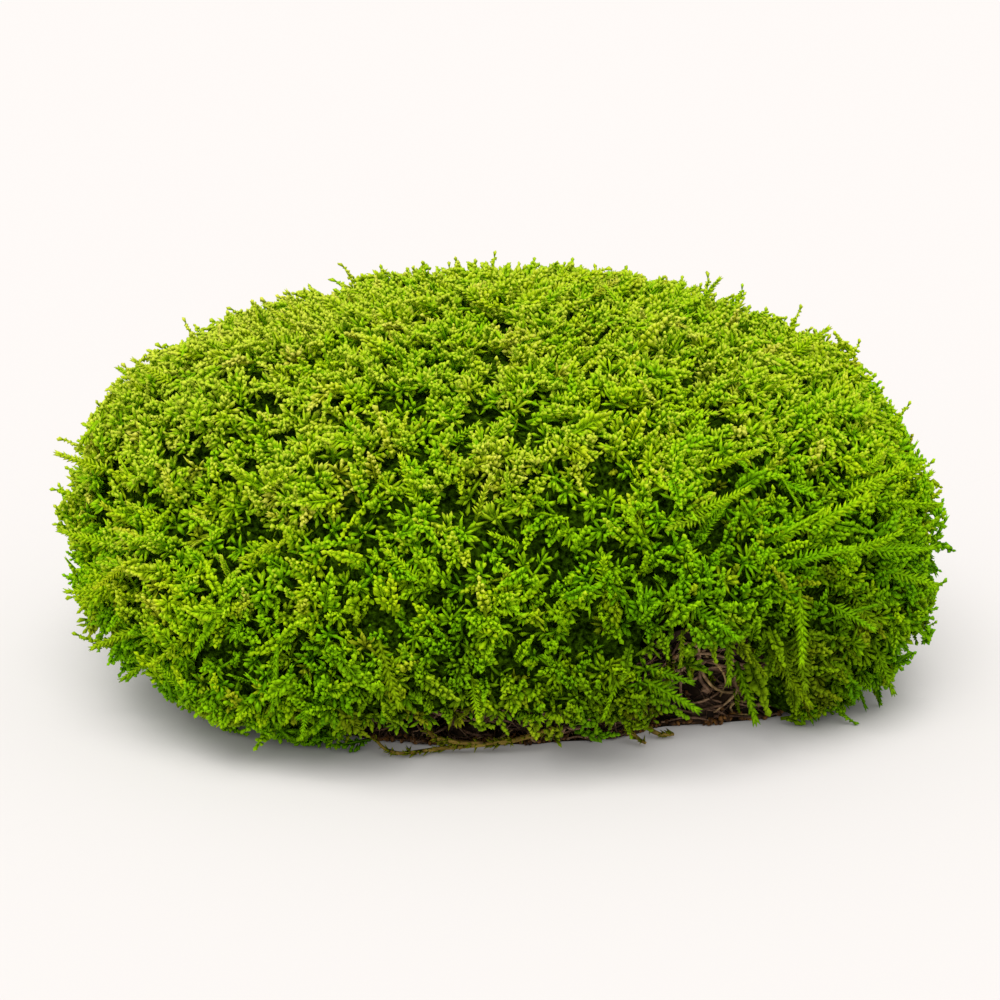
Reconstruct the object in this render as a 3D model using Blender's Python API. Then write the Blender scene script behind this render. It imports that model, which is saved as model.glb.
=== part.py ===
"""A clump of feather moss, as lifted off the ground.

A bun of green shoots sits on a pad of dark humus, and a few bare runners trail from its foot. Everything is
in metres with +Z up. The origin is on the ground, under the middle of the clump's bounding box. -Y is the
front, where the moss hangs short and shows the pad.
"""

import math
import random

import bmesh
import bpy
from mathutils import Vector, noise

MM = 0.001

# Driving dimensions of the bun, to the hollows between its tufts
BUN_WIDTH = 131 * MM
BUN_DEPTH = 110 * MM
BUN_HEIGHT = 56 * MM
WAIST_HEIGHT = 19 * MM  # where the bun is widest
PLAN_POWER = 2.25  # 2 is an ellipse, and more is squarer
DOME_POWER = 2.45
FOOT_POWER = 3.0
FOOT_FILLS = (  # azimuth and half width in degrees, and what they add to that power: the foot is fuller there
    (-124, 20, 1.3),
    (-148, 12, 0.9),
    (-26, 16, 2.6),
)
BUN_TURN = math.radians(2)  # the left end stands a little nearer the front

# Tufts of shoots, one on each small face of the bun's skin
SKIN_POINTS = 1240  # laid round the bun in a spiral, then shaken out of line
SKIN_SHAKE = 0.34  # as a share of the distance between two points
TUFT_HEIGHT = 3.2 * MM
TUFT_SPREAD = 1.0 * MM  # how much one tuft's height differs from the next
LONG_TUFT_HEIGHT = 6.0 * MM
LONG_TUFT_EVERY = 23
TUFT_DROOP = 0.45  # how far a tuft leans down the slope, as a share of its height
TUFT_SWAY = 0.3
UNDERSIDE_TILT = -0.7  # faces whose normals point further down than this have no tuft
TUFT_SEED = 7

# The hem is where the green stops, and it rides up over the pad at the front
HEM_HEIGHT = 1.6 * MM
HEM_LIFTS = (  # azimuth in degrees, half width in degrees, rise
    (-89, 26, 3.4 * MM),
    (-51, 11.5, 14.5 * MM),
)

# Soft rolls and hollows of the bun: azimuth and elevation in degrees from the middle of its waist, half
# width in degrees, and rise
ROLLS = (
    (-150, 30, 17, 1.8 * MM),  # left shoulder
    (-112, 38, 12, 1.5 * MM),  # roll above the front's middle
    (-66, 27, 13, 1.4 * MM),
    (-30, 34, 15, 1.6 * MM),  # right shoulder
    (-176, 30, 15, 4.2 * MM),  # left end, above its waist
    (-148, 4, 11, 1.6 * MM),  # low lobe at the left
    (-128, -18, 12, 1.2 * MM),  # foot of the left front
    (-101, 6, 10, 1.3 * MM),  # low lobe over the runners
    (-25, -20, 11, 1.8 * MM),  # foot of the right front
    (60, 62, 20, 1.6 * MM),
    (140, 40, 18, 1.5 * MM),
    (60, 20, 18, 1.4 * MM),
    (-118, 58, 9, -2.6 * MM),  # long hollow near the top
    (-98, 34, 7, -2.4 * MM),  # deep hollow in the front's middle
    (-43, 18, 8, -2.2 * MM),
    (-16, 14, 8, -2.2 * MM),
    (-135, 22, 8, -2.0 * MM),
    (-80, 10, 8, -1.8 * MM),
    (-51, -12, 12, -7.0 * MM),  # where the moss draws in over the bare humus
    (150, 55, 17, -2.2 * MM),
    (20, 45, 9, -2.0 * MM),
    (105, 30, 9, -2.2 * MM),
    (175, 28, 9, -2.0 * MM),
)
RIPPLE_SIZE = 15 * MM
RIPPLE_HEIGHT = 2.0 * MM

# The humus pad
PAD_SHARE = 0.71  # of the bun's plan radius
PAD_BULGES = (  # azimuth and half width in degrees, and what each adds to that share
    (-31, 11, 0.085),
    (-54, 10, -0.035),
)
PAD_RIM_HEIGHT = 11.5 * MM
PAD_RIM_LIFT = (-42, 20, 5.0 * MM)  # azimuth and half width in degrees, and how much higher the rim is there
PAD_CROWN_HEIGHT = 16.5 * MM
PAD_SEGMENTS = 96
PAD_WALL_ROWS = 5
PAD_CROWN_ROWS = 3
PAD_TUCK = 1.2 * MM  # how far the wall draws in at the ground
PAD_ROUGHNESS = 0.9 * MM
PAD_GRAIN = 4 * MM
PITS = (  # azimuth in degrees, height, half width, depth: holes between clods
    (-108, 5.5 * MM, 2.6 * MM, 2.6 * MM),
    (-93, 6.0 * MM, 2.2 * MM, 3.0 * MM),
    (-78, 4.0 * MM, 2.8 * MM, 2.4 * MM),
    (-63, 7.2 * MM, 2.6 * MM, 3.2 * MM),
    (-55, 4.2 * MM, 2.8 * MM, 3.4 * MM),
    (-48, 10.5 * MM, 2.4 * MM, 3.0 * MM),
    (-41.5, 7.2 * MM, 2.8 * MM, 3.4 * MM),
    (-36, 4.4 * MM, 2.4 * MM, 3.0 * MM),
    (-31, 8.2 * MM, 2.4 * MM, 2.6 * MM),
    (35, 4.0 * MM, 3.0 * MM, 2.4 * MM),
    (100, 3.6 * MM, 3.0 * MM, 2.4 * MM),
    (160, 4.0 * MM, 3.0 * MM, 2.2 * MM),
)
REST_GAP = 0.3 * MM  # between pieces that touch

# Bare brown runners on the ground: azimuth in degrees, distance out from the pad's wall, height of the middle
RUNNER_RADIUS = 0.42 * MM
RUNNER_STEP = 0.9 * MM
RUNNER_TIP_SHARE = 0.55  # of the radius, at the free end
RUNNERS = {
    "runner_front_loop": (
        (-79, 0.35 * MM, 3.2 * MM),
        (-84.5, 0.9 * MM, 2.3 * MM),
        (-90, 1.3 * MM, 1.5 * MM),
        (-97, 1.6 * MM, 1.0 * MM),
        (-103, 2.2 * MM, 0.7 * MM),
        (-107, 3.6 * MM, 0.6 * MM),
        (-110, 4.7 * MM, 0.6 * MM),
        (-113.5, 3.8 * MM, 0.8 * MM),
        (-116.5, 2.2 * MM, 1.8 * MM),
    ),
    "runner_front_spur": (
        (-106.5, 0.35 * MM, 2.9 * MM),
        (-104.5, 1.9 * MM, 2.3 * MM),
        (-101, 2.8 * MM, 2.1 * MM),
        (-97.5, 3.4 * MM, 2.2 * MM),
        (-94.5, 3.9 * MM, 2.5 * MM),
    ),
    "runner_front_stub": (
        (-64, 0.35 * MM, 2.0 * MM),
        (-63.2, 1.8 * MM, 1.2 * MM),
        (-62.6, 2.8 * MM, 0.7 * MM),
        (-62.2, 3.8 * MM, 0.6 * MM),
    ),
    "runner_right_stub": (
        (-59.4, 0.35 * MM, 1.7 * MM),
        (-58.4, 1.8 * MM, 1.0 * MM),
        (-57, 2.6 * MM, 0.6 * MM),
        (-55, 3.2 * MM, 0.6 * MM),
    ),
}

MOSS_GREEN = (0.13, 0.30, 0.015)
HUMUS_BROWN = (0.045, 0.026, 0.014)
RUNNER_TAN = (0.22, 0.12, 0.03)


def clear_scene():
    for found in list(bpy.data.objects):
        bpy.data.objects.remove(found)


def finish_of(name, colour, roughness):
    """A plain matt finish of that colour."""
    finish = bpy.data.materials.new(name)
    finish.use_nodes = True
    shader = finish.node_tree.nodes["Principled BSDF"]
    shader.inputs["Base Color"].default_value = (*colour, 1)
    shader.inputs["Roughness"].default_value = roughness
    shader.inputs["Metallic"].default_value = 0
    return finish


def add_mesh_object(name, shape, finish=None):
    """The bmesh as a new object, with its normals facing out."""
    bmesh.ops.recalc_face_normals(shape, faces=shape.faces)
    mesh = bpy.data.meshes.new(name)
    shape.to_mesh(mesh)
    shape.free()
    made = bpy.data.objects.new(name, mesh)
    bpy.context.scene.collection.objects.link(made)
    if finish:
        mesh.materials.append(finish)
    return made


def degrees_between(first, second):
    """The turn from one azimuth to another, from -180 to 180."""
    return (first - second + 180) % 360 - 180


def bell(offset, half_width):
    """1 at no offset, falling smoothly towards 0 past the half width."""
    return math.exp(-((offset / half_width) ** 2))


def plateau(offset, half_width):
    """Like bell, but level in its middle and steeper at its sides."""
    return math.exp(-((offset / half_width) ** 4))


def azimuth_of(x, y):
    return math.degrees(math.atan2(y, x))


def plan_reach(azimuth):
    """The bun's radius seen from above, at an azimuth in degrees."""
    angle = math.radians(azimuth) - BUN_TURN
    across = abs(math.cos(angle)) / (BUN_WIDTH / 2)
    along = abs(math.sin(angle)) / (BUN_DEPTH / 2)
    return (across**PLAN_POWER + along**PLAN_POWER) ** (-1 / PLAN_POWER)


def foot_power(azimuth):
    """How square the bun's underside is, at an azimuth in degrees."""
    return FOOT_POWER + sum(
        extra * bell(degrees_between(azimuth, middle), half_width) for middle, half_width, extra in FOOT_FILLS
    )


def bun_reach(direction):
    """Distance from the middle of the waist to the bun's skin, along a unit direction."""
    flat = math.hypot(direction.x, direction.y)
    above = direction.z >= 0
    azimuth = azimuth_of(direction.x, direction.y)
    power = DOME_POWER if above else foot_power(azimuth)
    rise = BUN_HEIGHT - WAIST_HEIGHT if above else WAIST_HEIGHT
    outward = flat / plan_reach(azimuth)
    return (outward**power + (abs(direction.z) / rise) ** power) ** (-1 / power)


def roll_rise(direction):
    """How far the rolls and hollows lift the skin along a direction."""
    rise = 0
    for azimuth, elevation, half_width, height in ROLLS:
        level = math.cos(math.radians(elevation))
        middle = Vector(
            (
                level * math.cos(math.radians(azimuth)),
                level * math.sin(math.radians(azimuth)),
                math.sin(math.radians(elevation)),
            )
        )
        rise += height * bell(math.degrees(direction.angle(middle)), half_width)
    return rise


def hem_height(x, y):
    """Height of the green hem over the ground, at a place in plan."""
    azimuth = azimuth_of(x, y)
    lift = sum(
        rise * plateau(degrees_between(azimuth, middle), half_width) for middle, half_width, rise in HEM_LIFTS
    )
    near_rim = min(1, math.hypot(x, y) / (0.6 * plan_reach(azimuth)))
    return HEM_HEIGHT + lift * near_rim**2


def skin_point(direction):
    """The point of the bun's skin along a unit direction from the middle of its waist."""
    reach = bun_reach(direction) + roll_rise(direction)
    point = direction * reach
    point += direction * RIPPLE_HEIGHT * noise.noise(point / RIPPLE_SIZE)
    point.z += WAIST_HEIGHT
    point.z = max(point.z, hem_height(point.x, point.y))
    return point


def raise_tufts(shape):
    """Pokes each face, but for those of the underside, out to a leaning point."""
    chance = random.Random(TUFT_SEED)
    shape.normal_update()
    green = [face for face in shape.faces if face.normal.z > UNDERSIDE_TILT]
    leans = []
    for number, face in enumerate(green):
        out = face.normal.copy()
        down_slope = Vector((0, 0, -1)) - out * -out.z
        height = TUFT_HEIGHT + TUFT_SPREAD * chance.uniform(-1, 1)
        if number % LONG_TUFT_EVERY == 0:
            height = LONG_TUFT_HEIGHT
        sway = Vector([chance.uniform(-1, 1) for _ in range(3)]) * TUFT_SWAY
        lean = (out + down_slope * TUFT_DROOP * chance.uniform(0.3, 1) + sway).normalized()
        leans.append((face.calc_center_median(), lean * height))
    tips = bmesh.ops.poke(shape, faces=green)["verts"]
    for tip, (middle, lean) in zip(tips, leans, strict=True):
        tip.co = middle + lean
        tip.co.z = max(tip.co.z, REST_GAP)


def spiral_directions(count, shake):
    """Unit directions spread evenly over a sphere along a spiral, each shaken a little."""
    chance = random.Random(TUFT_SEED)
    golden_turn = math.pi * (3 - math.sqrt(5))
    apart = math.sqrt(4 * math.pi / count)
    directions = []
    for number in range(count):
        level = 1 - 2 * (number + 0.5) / count
        flat = math.sqrt(1 - level**2)
        turn = golden_turn * number
        place = Vector((flat * math.cos(turn), flat * math.sin(turn), level))
        place += Vector([chance.uniform(-1, 1) for _ in range(3)]) * shake * apart
        directions.append(place.normalized())
    return directions


def build_cushion(finish):
    """The bun of moss: a skin stretched over scattered points, blown out to the bun's form, and tufted."""
    shape = bmesh.new()
    for direction in spiral_directions(SKIN_POINTS, SKIN_SHAKE):
        shape.verts.new(direction)
    bmesh.ops.convex_hull(shape, input=shape.verts)
    for vertex in shape.verts:
        vertex.co = skin_point(vertex.co.normalized())
    bmesh.ops.recalc_face_normals(shape, faces=shape.faces)
    raise_tufts(shape)
    return add_mesh_object("moss_cushion", shape, finish)


def pad_reach(azimuth):
    """The pad's radius seen from above, before its wall is roughened."""
    share = PAD_SHARE + sum(
        extra * bell(degrees_between(azimuth, middle), half_width) for middle, half_width, extra in PAD_BULGES
    )
    return share * plan_reach(azimuth)


def pad_rim_height(azimuth):
    middle, half_width, lift = PAD_RIM_LIFT
    return PAD_RIM_HEIGHT + lift * bell(degrees_between(azimuth, middle), half_width)


def pit_depth(azimuth, height):
    """How deep the wall is pitted at a place."""
    depth = 0
    for middle, level, half_width, deepest in PITS:
        sideways = math.radians(degrees_between(azimuth, middle)) * pad_reach(azimuth)
        depth += deepest * bell(math.hypot(sideways, height - level), half_width)
    return depth


def pad_shape(grow, lowest, rough):
    """The pad as a closed ring-by-ring shell. grow pushes its wall and its crown out."""
    shape = bmesh.new()
    rings = []
    for row in range(PAD_WALL_ROWS + 1):
        share = row / PAD_WALL_ROWS
        rings.append((1 - PAD_TUCK / plan_reach(0) * (1 - share) ** 2, share, 0))
    for row in range(1, PAD_CROWN_ROWS + 1):
        share = row / (PAD_CROWN_ROWS + 1)
        rings.append((1 - share, 1, math.sin(share * math.pi / 2)))
    loops = []
    for scale, up_wall, up_crown in rings:
        loop = []
        for step in range(PAD_SEGMENTS):
            azimuth = 360 * step / PAD_SEGMENTS
            rim = pad_rim_height(azimuth)
            height = rim * up_wall + (PAD_CROWN_HEIGHT - rim) * up_crown
            out = pad_reach(azimuth) * scale
            turn = math.radians(azimuth)
            if rough and up_crown == 0:
                spot = Vector((out * math.cos(turn), out * math.sin(turn), height))
                out -= PAD_ROUGHNESS * (0.5 + 0.5 * noise.noise(spot / PAD_GRAIN))
                out -= pit_depth(azimuth, height)
            out += grow
            top = height + grow if height > 0 else lowest
            loop.append(shape.verts.new((out * math.cos(turn), out * math.sin(turn), top)))
        loops.append(loop)
    for lower, upper in zip(loops, loops[1:], strict=False):
        for step in range(PAD_SEGMENTS):
            after = (step + 1) % PAD_SEGMENTS
            shape.faces.new((lower[step], lower[after], upper[after], upper[step]))
    top = shape.verts.new((0, 0, PAD_CROWN_HEIGHT + grow))
    for step in range(PAD_SEGMENTS):
        shape.faces.new((loops[-1][step], loops[-1][(step + 1) % PAD_SEGMENTS], top))
    shape.faces.new(loops[0])
    return shape


def build_pad(finish):
    return add_mesh_object("humus_pad", pad_shape(0, 0, rough=True), finish)


def cut_recess(cushion):
    """Hollows the bun's underside where the pad sits in it."""
    recess = add_mesh_object("pad_recess", pad_shape(REST_GAP, -5 * MM, rough=False))
    recess.hide_render = True
    recess.display_type = "WIRE"
    cut = cushion.modifiers.new("pad recess", "BOOLEAN")
    cut.operation = "DIFFERENCE"
    cut.solver = "EXACT"
    cut.object = recess


def smooth_through(points, step):
    """Evenly spaced points on a smooth curve through the given ones (a Catmull-Rom spline)."""
    padded = [points[0] * 2 - points[1], *points, points[-1] * 2 - points[-2]]
    route = []
    for before, start, end, after in zip(padded, padded[1:], padded[2:], padded[3:], strict=False):
        count = max(1, round((end - start).length / step))
        for number in range(count):
            t = number / count
            route.append(
                0.5
                * (
                    2 * start
                    + (end - before) * t
                    + (2 * before - 5 * start + 4 * end - after) * t**2
                    + (3 * start - before - 3 * end + after) * t**3
                )
            )
    return [*route, points[-1]]


def runner_route(places):
    """World points of a runner from its places, which are given from the pad's wall."""
    points = []
    for azimuth, out, height in places:
        reach = pad_reach(azimuth) + out
        turn = math.radians(azimuth)
        points.append(Vector((reach * math.cos(turn), reach * math.sin(turn), height)))
    return smooth_through(points, RUNNER_STEP)


def build_runner(name, places, finish):
    """A bare stem: a round tube along its route, thinner at its free end."""
    route = runner_route(places)
    curve = bpy.data.curves.new(name, "CURVE")
    curve.dimensions = "3D"
    curve.bevel_depth = RUNNER_RADIUS
    curve.bevel_resolution = 1
    curve.use_fill_caps = True
    spline = curve.splines.new("POLY")
    spline.points.add(len(route) - 1)
    for number, (point, place) in enumerate(zip(spline.points, route, strict=True)):
        point.co = (*place, 1)
        point.radius = 1 - (1 - RUNNER_TIP_SHARE) * number / (len(route) - 1)
    curve.materials.append(finish)
    made = bpy.data.objects.new(name, curve)
    bpy.context.scene.collection.objects.link(made)
    return made


def corners_of(piece, graph):
    """Every corner of a piece as it is drawn, in world space."""
    drawn = piece.evaluated_get(graph)
    mesh = drawn.to_mesh()
    corners = [piece.matrix_world @ vertex.co for vertex in mesh.vertices]
    drawn.to_mesh_clear()
    return corners


def centre_over_origin(pieces):
    """Slides everything in plan, so that the clump's bounding box is centred over the origin."""
    bpy.context.view_layer.update()
    graph = bpy.context.evaluated_depsgraph_get()
    corners = [corner for piece in pieces for corner in corners_of(piece, graph)]
    for axis in (0, 1):
        sides = [corner[axis] for corner in corners]
        middle = (min(sides) + max(sides)) / 2
        for found in bpy.data.objects:
            found.location[axis] -= middle


def main():
    clear_scene()
    green = finish_of("moss green", MOSS_GREEN, 0.6)
    brown = finish_of("humus brown", HUMUS_BROWN, 0.95)
    tan = finish_of("runner tan", RUNNER_TAN, 0.75)
    cushion = build_cushion(green)
    pad = build_pad(brown)
    cut_recess(cushion)
    runners = [build_runner(name, places, tan) for name, places in RUNNERS.items()]
    centre_over_origin([cushion, pad, *runners])


main()
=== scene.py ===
# %% [markdown]
# # A clump of feather moss, piece by piece
#
# The clump is a bun of small green shoots on a pad of dark humus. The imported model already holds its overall
# form as a few plain solids. This lesson dresses those solids: thousands of leafy shoots over a dark thatch,
# a pad of clods with a web of dead stems, and a few bare runners on the ground. Sizes are in millimetres
# unless a name or a comment says otherwise, and MM turns them into Blender's metres.

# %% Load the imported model
import math

import bpy
import numpy as np
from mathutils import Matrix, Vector, bvhtree, noise


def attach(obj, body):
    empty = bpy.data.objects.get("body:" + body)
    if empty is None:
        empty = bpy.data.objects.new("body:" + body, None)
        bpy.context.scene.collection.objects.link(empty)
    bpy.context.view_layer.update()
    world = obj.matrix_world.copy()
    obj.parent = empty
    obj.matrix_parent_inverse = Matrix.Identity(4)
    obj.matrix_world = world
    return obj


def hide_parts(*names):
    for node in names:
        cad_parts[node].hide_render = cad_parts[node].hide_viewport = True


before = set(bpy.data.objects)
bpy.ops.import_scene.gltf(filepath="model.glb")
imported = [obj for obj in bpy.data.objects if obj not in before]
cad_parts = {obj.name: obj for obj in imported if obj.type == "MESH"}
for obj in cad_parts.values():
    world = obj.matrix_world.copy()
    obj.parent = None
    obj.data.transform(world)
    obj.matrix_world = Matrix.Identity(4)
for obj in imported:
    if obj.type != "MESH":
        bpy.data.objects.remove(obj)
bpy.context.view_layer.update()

MM = 0.001
print("solids:", ", ".join(sorted(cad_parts)))

# %% [markdown]
# ## The sheet
#
# The clump was photographed on a pale seamless sheet that is nearly white. One large plane is enough for it,
# because the camera looks down and never sees its far edge. Lamps that make it so white would bleach the
# moss. So the sheet glows a little by itself, and an ambient occlusion node takes the glow away close to the
# clump, where the shadow has to stay dark.

# %% Helpers for every piece and every finish


def deselect_all():
    """Every operator acts on what is selected, so each step starts with nothing selected."""
    if bpy.context.object and bpy.context.object.mode != "OBJECT":
        bpy.ops.object.mode_set(mode="OBJECT")
    bpy.ops.object.select_all(action="DESELECT")


def new_material(name, roughness, specular):
    """A material with its Principled shader, and its nodes and links for the steps that follow."""
    material = bpy.data.materials.new(name)
    material.use_nodes = True
    nodes = material.node_tree.nodes
    shader = nodes["Principled BSDF"]
    shader.inputs["Roughness"].default_value = roughness
    shader.inputs["Specular IOR Level"].default_value = specular
    return material, nodes, material.node_tree.links, shader


def noise_value(nodes, links, scale, **settings):
    """A noise that stays in its place on the piece."""
    texture = nodes.new("ShaderNodeTexNoise")
    for name, value in (("Scale", scale), *settings.items()):
        texture.inputs[name].default_value = value
    coordinates = nodes.new("ShaderNodeTexCoord")
    links.new(coordinates.outputs["Object"], texture.inputs["Vector"])
    return texture.outputs["Fac"]


def ramp_color(nodes, links, value, stops):
    """The colour that a value picks from a ramp; each stop has its position and its linear colour."""
    ramp = nodes.new("ShaderNodeValToRGB")
    elements = ramp.color_ramp.elements
    while len(elements) < len(stops):
        elements.new(0.5)
    for element, (position, color) in zip(elements, stops):
        element.position = position
        element.color = (*color, 1)
    links.new(value, ramp.inputs["Fac"])
    return ramp.outputs["Color"]


# %% The sheet
SHEET_SIZE = 30  # metres
PAPER_GLOW = 0.36
SHADOW_REACH = 9.5  # how far from the clump the glow is dimmed

deselect_all()
bpy.ops.mesh.primitive_plane_add(size=SHEET_SIZE, location=(0, 0, 0))
sheet = bpy.context.object
sheet.name = "pale_sheet"
paper, nodes, links, shader = new_material("pale_paper", 0.9, 0)
grain = noise_value(nodes, links, 3)
paper_tone = ramp_color(nodes, links, grain, ((0, (0.431, 0.417, 0.414)), (1, (0.435, 0.421, 0.418))))
links.new(paper_tone, shader.inputs["Base Color"])
open_air = nodes.new("ShaderNodeAmbientOcclusion")
open_air.inputs["Distance"].default_value = SHADOW_REACH * MM
open_air.inputs["Color"].default_value = (1, 0.97, 0.945, 1)
links.new(open_air.outputs["Color"], shader.inputs["Emission Color"])
shader.inputs["Emission Strength"].default_value = PAPER_GLOW
sheet.data.materials.append(paper)
print("sheet laid")

# %% [markdown]
# ## The camera
#
# The picture was taken from a little above, with a long lens. The camera's height and distance were found by
# trial, until the outline and the foot of the clump fell on the same pixels. A helper gives the line of sight
# through a pixel, so that later steps can place things where the photograph shows them.

# %% The camera
CAMERA_HEIGHT_ANGLE = math.radians(18.1)
CAMERA_DISTANCE = 430 * MM
LOOK_AT = Vector((0, 0, 25 * MM))
FOCAL_PIXELS = 2730  # over a picture 1000 pixels wide
PICTURE_SHIFT = (4, 3)  # pixels right and down

forward = Vector((0, math.cos(CAMERA_HEIGHT_ANGLE), -math.sin(CAMERA_HEIGHT_ANGLE)))
upward = Vector((0, math.sin(CAMERA_HEIGHT_ANGLE), math.cos(CAMERA_HEIGHT_ANGLE)))
eye = LOOK_AT - forward * CAMERA_DISTANCE

deselect_all()
bpy.ops.object.camera_add(location=eye, rotation=(math.pi / 2 - CAMERA_HEIGHT_ANGLE, 0, 0))
camera = bpy.context.object
camera.data.sensor_width = 36
camera.data.lens = FOCAL_PIXELS * 36 / 1000
camera.data.shift_x = -PICTURE_SHIFT[0] / 1000
camera.data.shift_y = PICTURE_SHIFT[1] / 1000
camera.data.clip_start = 0.01
camera.data.dof.use_dof = False
bpy.context.scene.camera = camera
print("camera at", tuple(round(v, 4) for v in eye))


def sight_line(across, down):
    """The direction from the camera's eye through one pixel of the picture."""
    x = (across - 500 - PICTURE_SHIFT[0]) / FOCAL_PIXELS
    y = (500 + PICTURE_SHIFT[1] - down) / FOCAL_PIXELS
    return (forward + Vector((1, 0, 0)) * x + upward * y).normalized()


# %% [markdown]
# ## The light
#
# The photograph has soft light from above and hardly any direction. Large lamps near the clump would do, but
# they light the sheet unevenly. A sun as wide as a softbox lights all of it the same, while the deep gaps
# between the shoots stay dark, and the bright air round it fills the sides.

# %% The light
SUN_WIDTH = 50  # degrees
AIR_BRIGHTNESS = 0.73

world = bpy.data.worlds.new("studio_air")
world.use_nodes = True
world.node_tree.nodes["Background"].inputs["Color"].default_value = (1, 0.985, 0.97, 1)
world.node_tree.nodes["Background"].inputs["Strength"].default_value = AIR_BRIGHTNESS
bpy.context.scene.world = world
bpy.context.scene.view_settings.view_transform = "Standard"

deselect_all()
bpy.ops.object.light_add(type="SUN", rotation=(math.radians(22), math.radians(-5), 0))
overhead = bpy.context.object
overhead.name = "overhead_softbox"
overhead.data.energy = 2.55
overhead.data.angle = math.radians(SUN_WIDTH)
overhead.data.color = (1, 0.985, 0.965)
print("light set")

# %% [markdown]
# ## The skin that the shoots follow
#
# The solid of the moss has a coarse point for every tuft. The real shoots need the smooth surface that runs
# through the middle of those points. It could be had by smoothing the solid itself, but that rounds off its
# hem. So a ball is wrapped on the solid from outside, ray by ray, and then only the lengths of the rays are
# averaged with their neighbours'.

# %% Measure the solids


def points_of(obj):
    """The points of a mesh as an array of rows, in millimetres."""
    rows = np.zeros(len(obj.data.vertices) * 3)
    obj.data.vertices.foreach_get("co", rows)
    return rows.reshape(-1, 3) / MM


def tree_of(obj):
    """A search tree of a mesh, for shooting rays at it, in millimetres."""
    faces = [tuple(p.vertices) for p in obj.data.polygons]
    return bvhtree.BVHTree.FromPolygons([Vector(p) for p in points_of(obj)], faces)


FAR = 260.0
moss_tree = tree_of(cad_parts["moss_cushion"])
pad_tree = tree_of(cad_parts["humus_pad"])


def first_hit(tree, start, direction):
    """The place where a ray meets a solid, as an array, or None."""
    place = tree.ray_cast(Vector(start), Vector(direction), 2 * FAR)[0]
    return None if place is None else np.array(place)


def pad_edge(azimuth, height):
    """How far the pad's wall stands from the upright axis, looking in from outside at one height."""
    out = np.array((math.cos(azimuth), math.sin(azimuth), 0.0))
    hit = first_hit(pad_tree, out * FAR + (0, 0, height), -out)
    return 0.0 if hit is None else math.hypot(hit[0], hit[1])


print("the pad's wall at the front stands", round(pad_edge(-math.pi / 2, 6.0), 1), "out")

# %% Wrap the ball
HEART = np.array((0.0, 0.0, 20.0))  # every ray starts from here
EDGE_HEIGHT = 6.0  # where the pad's edge is measured
EDGE_MARGIN = 0.6
PAD_TOP = 17.5
TUCK = 0.6  # a ray that went in under the hem ends inside the pad, at this share of the pad's edge
FLOOR_MARGIN = 2.5
AVERAGE_ROUNDS = 9


def unit(rows):
    """The same directions with a length of one."""
    return rows / np.maximum(np.linalg.norm(rows, axis=-1, keepdims=True), 1e-9)


deselect_all()
bpy.ops.mesh.primitive_ico_sphere_add(subdivisions=6, radius=1)
skin = bpy.context.object
skin.name = "skin"
rays = unit(points_of(skin))
reach = np.zeros(len(rays))
under = np.zeros(len(rays), bool)
for row, ray in enumerate(rays):
    hit = first_hit(moss_tree, HEART + ray * FAR, -ray)
    edge = pad_edge(math.atan2(ray[1], ray[0]), EDGE_HEIGHT)
    if hit is None or (hit[2] < PAD_TOP and math.hypot(hit[0], hit[1]) < edge + EDGE_MARGIN):
        under[row] = True
        hit = HEART + ray * min(TUCK * edge / max(math.hypot(ray[0], ray[1]), 1e-3),
                                (HEART[2] - FLOOR_MARGIN) / max(-ray[2], 1e-3))
    reach[row] = np.linalg.norm(hit - HEART)
edges = np.array([e.vertices[:] for e in skin.data.edges])
open_edges = edges[~under[edges].any(axis=1)]
for _ in range(AVERAGE_ROUNDS):
    total = reach.copy()
    number = np.ones(len(reach))
    for one, other in ((0, 1), (1, 0)):
        np.add.at(total, open_edges[:, one], reach[open_edges[:, other]])
        np.add.at(number, open_edges[:, one], 1)
    reach = total / number
skin_points = HEART + rays * reach[:, None]
skin_faces = np.array([p.vertices[:] for p in skin.data.polygons])
face_under = under[skin_faces].any(axis=1)
print("rays that went in under the hem:", int(under.sum()), "of", len(rays))


def face_sides(points, faces):
    """Each triangle's normal, as long as twice its area."""
    c = points[faces]
    return np.cross(c[:, 1] - c[:, 0], c[:, 2] - c[:, 0])


sides = face_sides(skin_points, skin_faces)
skin_normals = np.zeros_like(skin_points)
for corner in range(3):
    np.add.at(skin_normals, skin_faces[~face_under, corner], sides[~face_under])
lost = np.linalg.norm(skin_normals, axis=1) < 1e-9
skin_normals[lost] = rays[lost]
skin_normals = unit(skin_normals)
print("lowest point of the moss:", round(float(skin_points[~under, 2].min()), 2))

# %% [markdown]
# ## Knobs: leafy branchlets
#
# The photograph shows branchlets about a millimetre wide, knobby with leaves that lie forward like roof
# tiles. They could be stems with separate leaves stuck on. A three-sided stem whose faces are poked and
# pulled out and forward gives the same knobby look as one closed skin, with only four triangles to a leaf,
# and that matters because there will be tens of thousands of branchlets.

# %% A helper that models a leafy stem
CLOSED_SHARE = 0.66  # how far out the last leaves stand, as a share of the others


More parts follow.
